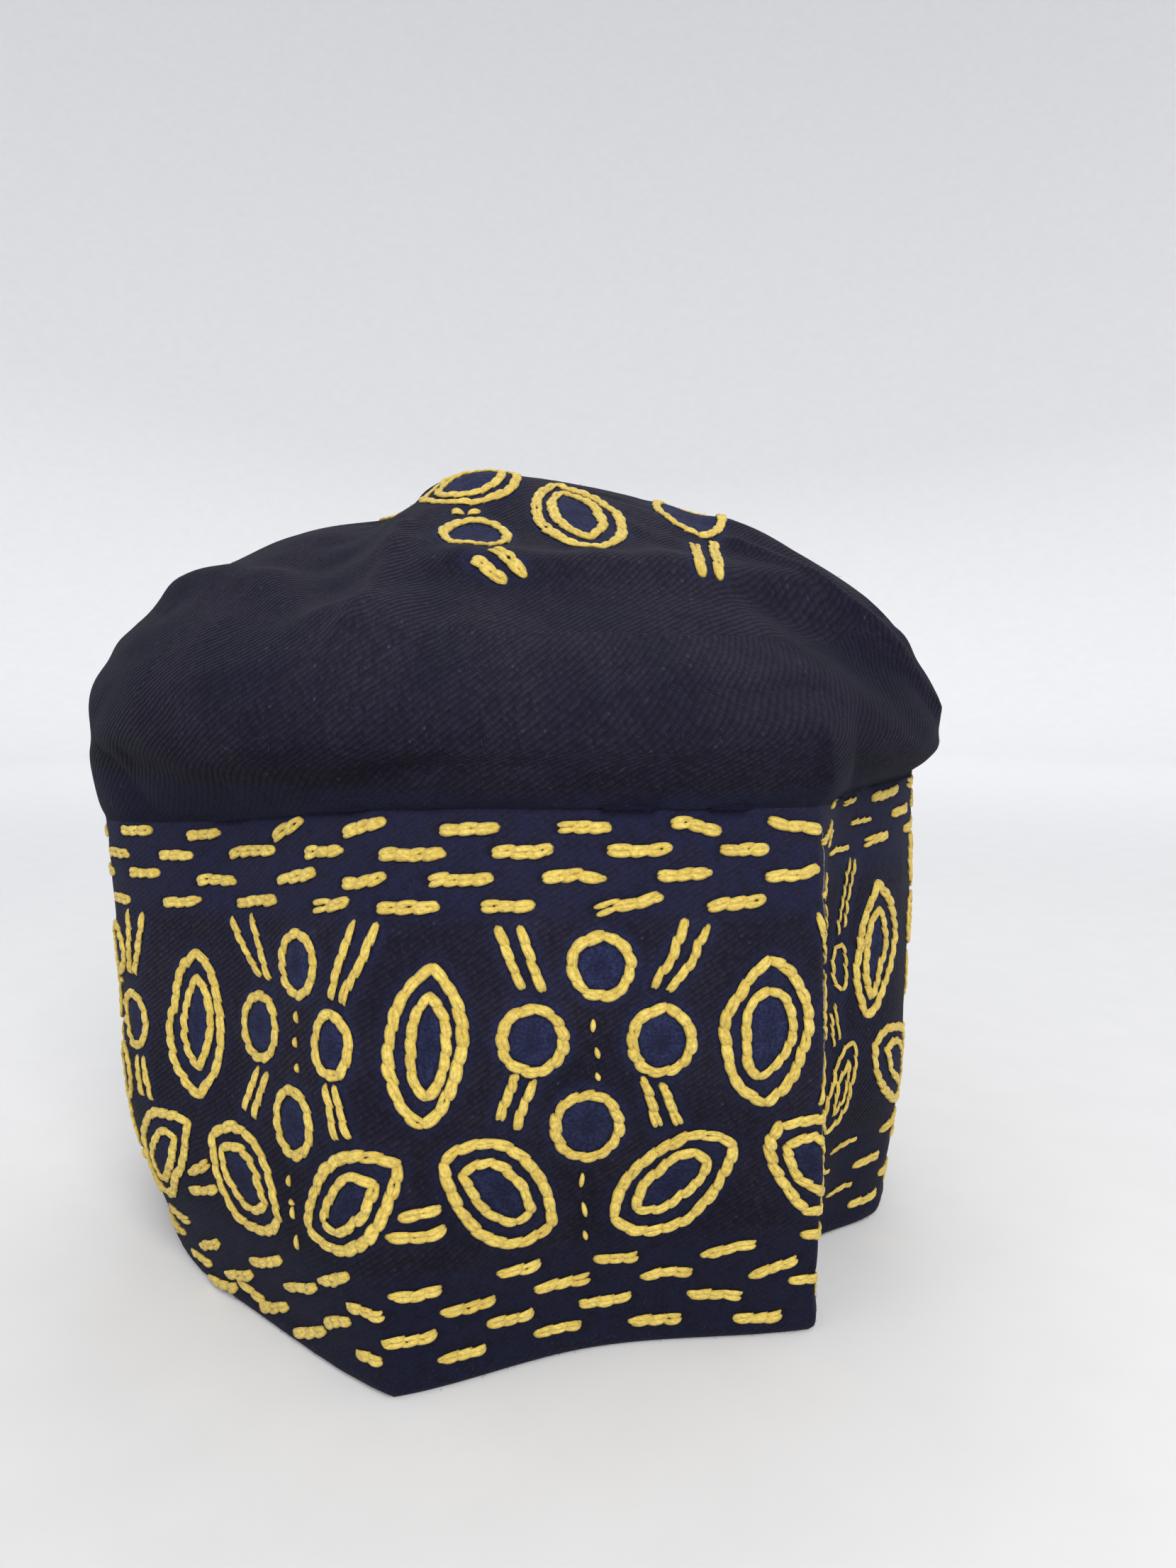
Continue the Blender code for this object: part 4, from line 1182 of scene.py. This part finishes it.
class Nodes:
    """Short ways to write a material's nodes."""

    def __init__(self, name):
        self.material = bpy.data.materials.new(name)
        self.material.use_nodes = True
        self.tree = self.material.node_tree
        self.shader = self.tree.nodes["Principled BSDF"]

    def add(self, kind, inputs=None, **settings):
        made = self.tree.nodes.new(kind)
        for key, value in settings.items():
            setattr(made, key, value)
        for key, value in (inputs or {}).items():
            self.put(made.inputs[key], value)
        return made

    def put(self, socket, value):
        if isinstance(value, bpy.types.NodeSocket):
            self.tree.links.new(value, socket)
        else:
            socket.default_value = value

    def math(self, operation, a, b=0.0, c=0.0):
        return self.add("ShaderNodeMath", {0: a, 1: b, 2: c}, operation=operation).outputs[0]

    def mul(self, a, b):
        return self.math("MULTIPLY", a, b)

    def madd(self, a, b, c):
        """a times b, plus c."""
        return self.math("MULTIPLY_ADD", a, b, c)

    def wave(self, turns):
        """A sine wave from 0 to 1, with one crest a turn."""
        return self.madd(self.math("SINE", self.mul(turns, 2 * math.pi)), 0.5, 0.5)

    def value(self, name):
        return self.add("ShaderNodeAttribute", attribute_name=name).outputs["Fac"]

    def cloth_place(self):
        """Flat cloth coordinates, and their two parts."""
        uv = self.add("ShaderNodeUVMap", uv_map="cloth").outputs[0]
        x, y, _ = self.add("ShaderNodeSeparateXYZ", {0: uv}).outputs
        return uv, x, y

    def place(self):
        return self.add("ShaderNodeTexCoord").outputs["Object"]

    def joined(self, *parts):
        return self.add("ShaderNodeCombineXYZ", dict(enumerate(parts))).outputs[0]

    def mix(self, factor, a, b, blend="MIX"):
        made = self.add("ShaderNodeMix", data_type="RGBA", blend_type=blend)
        self.put(made.inputs[0], factor)
        for socket, colour in ((made.inputs[6], a), (made.inputs[7], b)):
            self.put(socket, (*colour, 1) if isinstance(colour, tuple) else colour)
        return made.outputs[2]

    def noise(self, vector, scale, detail=3.0):
        return self.add("ShaderNodeTexNoise", {"Vector": vector, "Scale": scale, "Detail": detail}).outputs[0]

    def range(self, value, start, end):
        """0 up to start, 1 from end on, and smooth between. start may lie above end."""
        inputs = {"Value": value, "From Min": start, "From Max": end}
        return self.add("ShaderNodeMapRange", inputs, interpolation_type="SMOOTHSTEP").outputs[0]

    def clamped(self, value):
        return self.math("MINIMUM", self.math("MAXIMUM", value, 0.0), 1.0)

    def grey(self, value):
        return self.add("ShaderNodeCombineColor", {0: value, 1: value, 2: value}).outputs[0]

    def bump(self, height, distance):
        inputs = {"Height": height, "Distance": distance, "Strength": 1.0}
        return self.add("ShaderNodeBump", inputs).outputs[0]

    def surface(self, inputs):
        """The finished material, with the shader's sockets linked or set."""
        for key, value in inputs.items():
            self.put(self.shader.inputs[key], value)
        return self.material


# Twill: ribs that rise to the right, with a bead where each weft thread crosses a rib
TWILL_PITCH = 0.98
WALL_TWILL_ANGLE, SIDE_TWILL_ANGLE, TOP_TWILL_ANGLE = 33.0, 37.0, 50.0
THREAD_LENGTH = 0.62
FLECK_SHARE = 0.022

# Colours of the cloth and the yarn, as linear red, green and blue
GROUND = (0.0099, 0.0092, 0.0195)
WORN_GROUND = (0.0146, 0.0131, 0.0230)
NAVY = (0.0102, 0.0114, 0.0320)
BRIGHT_NAVY = (0.0190, 0.0240, 0.0670)
FLECK = (0.075, 0.078, 0.115)
# Painted shade on the cloth right beside the yarn
SHADE_BESIDE_YARN = (0.004, 0.004, 0.006)
YARN_DEEP, YARN_LIGHT = (0.44, 0.305, 0.05), (0.60, 0.455, 0.100)
# Painted highlight on the yarn's crests, and painted shade in its hollows
YARN_CREST_HIGHLIGHT, YARN_HOLLOW_SHADE = (0.70, 0.57, 0.18), (0.11, 0.07, 0.014)

# The rows of dashes are sewn over navy stitching below and above these heights, in millimetres
LOW_ZONE, HIGH_ZONE, ZONE_SOFTNESS = 23.0, 85.0, 5.0
# The lower parts of the wall and of the crown are painted darker, as painted shade: heights, and how dark
# they start
WALL_PAINTED_SHADE, CROWN_PAINTED_SHADE = (8.0, 80.0, 0.6), (103.0, 126.0, 0.66)
# The crown's rim is worn to navy below a height, and its sides are painted darker than its middle, as painted
# shade
NAVY_RIM = (107.5, 104.0)
CROWN_SIDE_SHADE = (0.62, 0.62, 0.74)
HALO_REACH = 3.8


def scaled(colour, factor):
    return tuple(factor * part for part in colour)


def fill_streaks(n, uv, fine):
    """Lightness of the filling stitches: fine rays from the rim inwards, and a worn dark middle."""
    x, y = n.value("from_x"), n.value("from_y")
    reach = n.math("SQRT", n.madd(x, x, n.mul(y, y)))
    reach = n.math("MAXIMUM", reach, 0.1)
    ray = n.joined(n.math("DIVIDE", x, reach), n.math("DIVIDE", y, reach))
    drift = n.add("ShaderNodeVectorMath", {0: uv, "Scale": 0.05}, operation="SCALE").outputs[0]
    ray = n.add("ShaderNodeVectorMath", {0: ray, 1: drift}, operation="ADD").outputs[0]
    streaks = n.mul(n.range(n.noise(ray, 6.0, 4.0), 0.36, 0.64), n.range(reach, 0.5, 3.0))
    threads = n.madd(n.range(fine, 0.3, 0.7), 0.55, 0.2)
    worn = n.madd(n.range(n.value("depth"), 0.45, 1.0), -0.35, 1.0)
    return n.mul(n.madd(streaks, 0.4, threads), worn)


def cloth_material(name, painted_shade_heights, twill_angle, stitched_zones=False):
    """Navy twill with its ribs, flecks and wear, painted shade low down and on the crown's sides, and
    brighter filling stitches where they are.
    """
    n = Nodes(name)
    uv, x, y = n.cloth_place()
    warp = n.noise(uv, 0.06, 2.0)
    angle = math.radians(twill_angle)
    up = n.mul(y, math.cos(angle))
    across = n.math("SUBTRACT", up, n.mul(x, math.sin(angle)))
    waver = n.madd(warp, 1.6, n.mul(n.noise(uv, 0.8, 2.0), 0.55))
    rib = n.math("ADD", waver, n.math("DIVIDE", across, TWILL_PITCH))
    ribs = n.wave(rib)
    number = n.math("FLOOR", rib)
    right = n.mul(x, math.cos(angle))
    run = n.math("ADD", right, n.mul(y, math.sin(angle)))
    along = n.madd(number, 0.37, n.math("DIVIDE", run, THREAD_LENGTH))
    beads = n.wave(along)
    weave = n.mul(ribs, n.madd(beads, 0.5, 0.5))
    cell = n.joined(number, n.math("FLOOR", along))
    chance = n.add("ShaderNodeTexWhiteNoise", {"Vector": cell}, noise_dimensions="2D").outputs[0]
    fine = n.noise(uv, 1.7, 5.0)
    middling = n.noise(uv, 0.35, 3.0)
    bead = n.math("POWER", weave, 2.2)
    fleck = n.mul(n.math("GREATER_THAN", chance, 1 - FLECK_SHARE), bead)
    fleck = n.mul(fleck, n.range(middling, 0.5, 0.62))

    broad = n.noise(uv, 0.045, 3.0)
    patch = n.range(broad, 0.38, 0.62)
    ground = n.mix(patch, GROUND, WORN_GROUND)
    thread = n.madd(chance, 0.6, n.madd(fine, 0.9, 0.25))
    ground = n.mix(1.0, ground, n.grey(thread), "MULTIPLY")
    ground = n.mix(n.clamped(n.madd(weave, -0.9, 0.6)), ground, scaled(GROUND, 0.4))
    ground = n.mix(n.mul(fleck, 0.42), ground, FLECK)

    shade = fill_streaks(n, uv, fine)
    uneven = n.madd(n.range(middling, 0.35, 0.65), 0.5, n.madd(fine, 1.2, 0.1))
    bright = n.mix(n.clamped(n.mul(shade, uneven)), scaled(NAVY, 0.6), BRIGHT_NAVY)
    halo = n.mul(n.range(n.value("gap"), HALO_REACH, 0.6), 0.62)
    if stitched_zones:
        height = n.value("height")
        low = n.range(height, LOW_ZONE + ZONE_SOFTNESS / 2, LOW_ZONE - ZONE_SOFTNESS / 2)
        low = n.mul(low, n.range(height, -0.5, 0.0))
        high = n.range(height, HIGH_ZONE - ZONE_SOFTNESS / 2, HIGH_ZONE + ZONE_SOFTNESS / 2)
        zone = n.mul(n.math("MAXIMUM", low, high), 0.7)
        halo = n.math("MAXIMUM", halo, zone)
    else:
        halo = n.math("MAXIMUM", halo, n.mul(n.range(n.value("height"), *NAVY_RIM), 0.75))
    patchy = n.madd(n.range(middling, 0.36, 0.64), 0.7, n.madd(fine, 0.9, 0.1))
    navy = n.mix(fine, scaled(NAVY, 0.72), scaled(NAVY, 1.3))
    colour = n.mix(n.clamped(n.mul(halo, patchy)), ground, navy)
    fill = n.value("fill")
    colour = n.mix(n.clamped(n.mul(fill, n.madd(fine, 0.5, 0.7))), colour, bright)
    # Painted shade: the cloth is painted darker lower down, and darkest on the wall's inner face
    low_end, high_end, darkest = painted_shade_heights
    light = n.madd(n.range(n.value("height"), low_end, high_end), 1 - darkest, darkest)
    colour = n.mix(1.0, colour, n.grey(light), "MULTIPLY")
    # Painted shade: the crown is painted darker to the left and right of its middle
    if not stitched_zones:
        place = n.place()
        aside = n.add("ShaderNodeSeparateXYZ", {0: place}).outputs[0]
        side_shade = n.range(n.math("ABSOLUTE", aside), 0.03, 0.085)
        colour = n.mix(side_shade, colour, n.mix(1.0, colour, CROWN_SIDE_SHADE, "MULTIPLY"))
    # Painted shade: the cloth right beside the yarn is painted darker
    near_yarn = n.range(n.value("gap"), 1.6, 0.9)
    colour = n.mix(n.mul(near_yarn, 0.45), colour, SHADE_BESIDE_YARN)
    covered = n.clamped(n.math("MAXIMUM", n.mul(halo, 0.8), fill))
    stitched = n.madd(shade, 0.7, n.madd(fine, 0.9, n.mul(weave, 0.25)))
    height = n.math("ADD", n.mul(weave, n.math("SUBTRACT", 1.0, covered)), n.mul(stitched, covered))
    height = n.madd(fine, 0.3, height)
    return n.surface({
        "Base Color": colour,
        "Roughness": n.madd(fine, 0.15, 0.8),
        "Sheen Weight": 0.022,
        "Sheen Roughness": 0.45,
        "Sheen Tint": (0.75, 0.8, 1.0, 1),
        "Specular IOR Level": 0.07,
        "Normal": n.bump(height, 0.22 * MM),
    })


def yarn_material():
    """Matte yellow yarn, plied, with paler crests as a painted highlight and darker hollows as painted shade.
    """
    n = Nodes("yellow_yarn")
    _, x, y = n.cloth_place()
    plies = n.wave(n.madd(x, 0.75, n.mul(y, 1.0)))
    place, tone, rise = n.place(), n.value("tone"), n.value("rise")
    hair = n.joined(n.mul(x, 0.8), n.mul(y, 9.0), n.mul(tone, 40.0))
    fibres = n.madd(n.noise(hair, 1.0, 4.0), 0.6, n.mul(n.noise(place, 2200.0, 3.0), 0.4))
    blotch = n.noise(place, 90.0, 2.0)
    colour = n.mix(n.madd(tone, 0.6, n.mul(blotch, 0.4)), YARN_DEEP, YARN_LIGHT)
    # Painted highlight: the yarn's highest parts are painted paler
    colour = n.mix(n.mul(n.range(rise, 0.5, 0.95), 0.4), colour, YARN_CREST_HIGHLIGHT)
    # Painted shade: where the yarn dips to the cloth it is painted dark
    colour = n.mix(n.mul(n.range(rise, 0.42, -0.1), 0.9), colour, YARN_HOLLOW_SHADE)
    colour = n.mix(n.mul(plies, 0.14), colour, scaled(YARN_DEEP, 0.6))
    colour = n.mix(n.mul(n.range(fibres, 0.56, 0.38), 0.55), colour, scaled(YARN_DEEP, 0.58))
    return n.surface({
        "Base Color": colour,
        "Roughness": n.madd(fibres, 0.2, 0.7),
        "Sheen Weight": 0.12,
        "Sheen Roughness": 0.5,
        "Specular IOR Level": 0.15,
        "Normal": n.bump(n.madd(plies, 0.5, n.mul(fibres, 1.6)), 0.16 * MM),
    })


def fibre_material(name, colour):
    """Loose fibres and threads of one colour, a little uneven along their length."""
    n = Nodes(name)
    place = n.place()
    return n.surface({
        "Base Color": n.mix(n.noise(place, 400.0), scaled(colour, 0.6), scaled(colour, 1.4)),
        "Roughness": 0.8,
        "Specular IOR Level": 0.15,
        "Normal": n.bump(n.noise(place, 2500.0), 0.03 * MM),
    })


def tubes(name, paths, radius, sides, material):
    """Thin tubes with pointed ends, as one piece. paths is an array [tube, step, 3]."""
    count, steps = paths.shape[:2]
    way = unit(np.gradient(paths, axis=1))
    upright = np.abs(way[..., 2:]) > 0.9
    side = unit(np.cross(way, np.where(upright, (1.0, 0, 0), (0, 0, 1.0))))
    ring = tube_ring(side, np.cross(side, way), sides)
    body = paths[:, 1:-1, None] + radius * ring[:, 1:-1]
    points = np.concatenate([body.reshape(count, -1, 3), paths[:, :1], paths[:, -1:]], axis=1)
    rings = steps - 2
    first_tip = rings * sides
    caps = [fan(first_tip, 0, sides, turned=True), fan(first_tip + 1, first_tip - sides, sides)]
    faces = [repeated(shape, count, first_tip + 2)
             for shape in (grid_quads(rings, sides)[0], np.concatenate(caps))]
    piece = mesh_object(name, points.reshape(-1, 3), faces, material)
    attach(piece, "root")


FUZZ_STEPS = 6
FUZZ_RADIUS = 0.03 * MM
FUZZ_SIDES, FUZZ_COLOUR, FUZZ_ROOT = 3, (0.05, 0.05, 0.08), 0.15 * MM
FUZZ_LENGTHS, FUZZ_STAND, FUZZ_CURL, FUZZ_DROOP = (0.5, 1.4), (0.25, 0.8), 0.45, 0.4


def fuzz_paths(cloth, count, u_span, v_span, length, rng):
    """Short fibres that stand off the cloth, curling back."""
    u, v = rng.uniform(*u_span, count), rng.uniform(*v_span, count)
    points, normals = cloth.at(u, v)
    lean = rng.normal(0, 1, points.shape)
    lean -= (lean * normals).sum(axis=1, keepdims=True) * normals
    lean = unit(lean)
    bend = unit(rng.normal(0, 1, points.shape))
    size = length * rng.uniform(*FUZZ_LENGTHS, count)[:, None, None]
    t = np.linspace(0, 1, FUZZ_STEPS)[None, :, None]
    stand = rng.uniform(*FUZZ_STAND, count)[:, None, None]
    way = normals[:, None] * stand * t + lean[:, None] * t + FUZZ_CURL * bend[:, None] * t**2
    way = way - normals[:, None] * FUZZ_DROOP * t**2
    return points[:, None] - FUZZ_ROOT * normals[:, None] + size * way


def make_fuzz(band, crown_map):
    """Loose fibres along the hem, over the wall and on the crown, none of them below the floor."""
    rng = np.random.default_rng(21)
    paths = np.concatenate([
        fuzz_paths(band, 700, (0, AROUND), (0.5, 4), 0.9 * MM, rng),
        fuzz_paths(band, 500, (0, AROUND), (4, 102), 0.9 * MM, rng),
        fuzz_paths(crown_map, 1500, (0, REPEATS), (0.5, RIM_ROW - 0.5), 1.1 * MM, rng),
    ])
    paths[..., 2] = np.maximum(paths[..., 2], FUZZ_RADIUS)
    tubes("cloth_fuzz", paths, FUZZ_RADIUS, FUZZ_SIDES, fibre_material("fibre", FUZZ_COLOUR))


LOOSE_THREADS = (
    # name, places and heights on the wall in millimetres
    ("upper corner thread", ((130.9, 99), (131.3, 92), (130.4, 84), (130.7, 78))),
    ("middle corner thread", ((129.9, 72), (129.5, 64), (130.0, 58), (129.4, 53))),
    ("lower corner thread", ((130.3, 46), (130.9, 40), (130.2, 33), (130.8, 25))),
)
LOOSE_THREAD_RADIUS, LOOSE_THREAD_RISE = 0.1 * MM, 0.08 * MM
LOOSE_THREAD_STEPS, LOOSE_THREAD_SIDES = 60, 5
LOOSE_THREAD_SPACING, LOOSE_THREAD_WAVER = 0.8, 0.12
LOOSE_THREAD_COLOUR = (0.16, 0.15, 0.16)


def make_threads(band):
    """Thin pale threads that lie along the right front corner."""
    rng = np.random.default_rng(22)
    paths = []
    for _, route in LOOSE_THREADS:
        flat = evenly(smooth_line(route), LOOSE_THREAD_SPACING)
        x, y = flat[np.linspace(0, len(flat) - 1, LOOSE_THREAD_STEPS).astype(int)].T
        points, normals = band.at(x + rng.normal(0, LOOSE_THREAD_WAVER, len(x)), y)
        paths.append(points + LOOSE_THREAD_RISE * normals)
    material = fibre_material("pale_thread", LOOSE_THREAD_COLOUR)
    paths = np.array(paths)
    tubes("loose_threads", paths, LOOSE_THREAD_RADIUS, LOOSE_THREAD_SIDES, material)


# Studio: a pale bowl-shaped floor, a large soft key from the right and a soft fill
FLOOR_FLAT, FLOOR_RADIUS, FLOOR_RISE = 1.3, 3.2, 3.4
FLOOR_COLOUR, BACKDROP_COLOUR = (0.66, 0.66, 0.665), (0.86, 0.86, 0.87)
CAMERA_PLACE = (15.8 * MM, -286.5 * MM, 129 * MM)
CAMERA_PITCH = 6.345
CAMERA_LENS = 27.0
LIGHTS = (
    # name, place, size, watts, colour
    ("key", (0.3, -1.35, 1.0), 1.0, 29, (1.0, 0.985, 0.96)),
    ("fill", (-1.0, -0.9, 0.7), 1.3, 3, (0.96, 0.98, 1.0)),
    ("back", (0.1, 1.0, 1.3), 1.2, 7, (0.98, 0.99, 1.0)),
)
AIM = (0, 0, 0.09)
WORLD_COLOUR, WORLD_STRENGTH = (0.93, 0.95, 1.0, 1), 0.62


FLOOR_RINGS, FLOOR_SIDES, FLOOR_FLAT_RINGS = 24, 96, (0.3, 0.7)


def make_floor():
    """A round floor that sweeps up into a backdrop on every side."""
    angle = full_turn(FLOOR_SIDES)
    rows = []
    for radius in (*FLOOR_FLAT_RINGS, *np.linspace(FLOOR_FLAT, FLOOR_RADIUS, FLOOR_RINGS)):
        rise = FLOOR_RISE * (max(radius - FLOOR_FLAT, 0) / (FLOOR_RADIUS - FLOOR_FLAT)) ** 2
        x, y = radius * np.cos(angle), radius * np.sin(angle)
        rows.append(np.stack([x, y, np.full_like(angle, rise)], axis=-1))
    points = np.concatenate([np.zeros((1, 3)), *rows])
    quads = (grid_quads(len(rows), FLOOR_SIDES)[0] + 1)[:, ::-1]
    n = Nodes("floor_paper")
    place = n.place()
    reach = n.add("ShaderNodeVectorMath", {0: place}, operation="LENGTH").outputs["Value"]
    # Painted light: the paper far from the cap is painted paler than near it, in place of lamp light that
    # falls off before the backdrop
    paper = n.mix(n.range(reach, 0.4, FLOOR_FLAT), FLOOR_COLOUR, BACKDROP_COLOUR)
    grain = n.madd(n.noise(place, 60.0, 4.0), 0.06, 0.97)
    material = n.surface({
        "Base Color": n.mix(1.0, paper, n.grey(grain), "MULTIPLY"),
        "Roughness": 0.9,
        "Specular IOR Level": 0.2,
    })
    floor = mesh_object("studio_floor", points, [quads, fan(0, 1, FLOOR_SIDES)], material)


def make_lights():
    """A soft world light and the studio's lamps, each turned to the cap."""
    world = bpy.data.worlds.new("studio")
    bpy.context.scene.world = world
    world.use_nodes = True
    background = world.node_tree.nodes["Background"]
    background.inputs["Color"].default_value = WORLD_COLOUR
    background.inputs["Strength"].default_value = WORLD_STRENGTH
    for name, place, size, watts, colour in LIGHTS:
        data = bpy.data.lights.new(name, "AREA")
        data.shape = "DISK"
        data.size = size
        data.energy = watts
        data.color = colour
        lamp = add_object(name, data)
        lamp.location = place
        lamp.visible_camera = False
        x, y, z = np.array(AIM) - np.array(place)
        lamp.rotation_euler = (math.atan2(math.hypot(x, y), -z), 0, math.atan2(-x, y))


def make_camera():
    data = bpy.data.cameras.new("camera")
    data.lens = CAMERA_LENS
    data.sensor_width = 36
    data.clip_start = 0.01
    camera = add_object("camera", data)
    camera.location = CAMERA_PLACE
    camera.rotation_euler = (math.radians(90 - CAMERA_PITCH), 0, 0)
    bpy.context.scene.camera = camera


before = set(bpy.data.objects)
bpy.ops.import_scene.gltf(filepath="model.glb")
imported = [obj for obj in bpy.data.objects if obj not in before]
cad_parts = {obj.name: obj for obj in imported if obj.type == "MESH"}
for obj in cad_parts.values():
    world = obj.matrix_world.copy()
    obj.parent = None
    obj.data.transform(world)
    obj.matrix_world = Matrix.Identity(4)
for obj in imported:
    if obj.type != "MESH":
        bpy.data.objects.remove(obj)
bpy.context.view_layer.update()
bpy.context.scene.view_settings.view_transform = "Standard"
make_camera()
make_lights()
make_floor()

wall_yarn, wall_pattern = stitch_wall()
top_yarn, top_pattern = stitch_top()
band_cloth = wall_cloth(wall_pattern)
crown_map = crown_cloth(top_pattern)

band_twill = cloth_material("band_twill", WALL_PAINTED_SHADE, WALL_TWILL_ANGLE, stitched_zones=True)
band = make_band(band_cloth, wall_pattern, band_twill)
side = make_crown_side(crown_map, cloth_material("side_twill", CROWN_PAINTED_SHADE, SIDE_TWILL_ANGLE))
top = make_crown_top(crown_map, top_pattern, cloth_material("top_twill", CROWN_PAINTED_SHADE, TOP_TWILL_ANGLE))
for piece, node, slot in (
    (band, "band", "band_cloth"),
    (side, "crown_side", "crown_cloth"),
    (top, "crown_top", "crown_top_cloth"),
):
    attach(piece, "root")
    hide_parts(node)

yarn = yarn_material()
yarn_pieces = [yarn_object(name, links, band_cloth.at, yarn) for name, links in wall_yarn.items()]
yarn_pieces.append(yarn_object("medallion_stitches", top_yarn, top_finder(crown_map), yarn))
for piece in yarn_pieces:
    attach(piece, "root")
make_fuzz(band_cloth, crown_map)
make_threads(band_cloth)
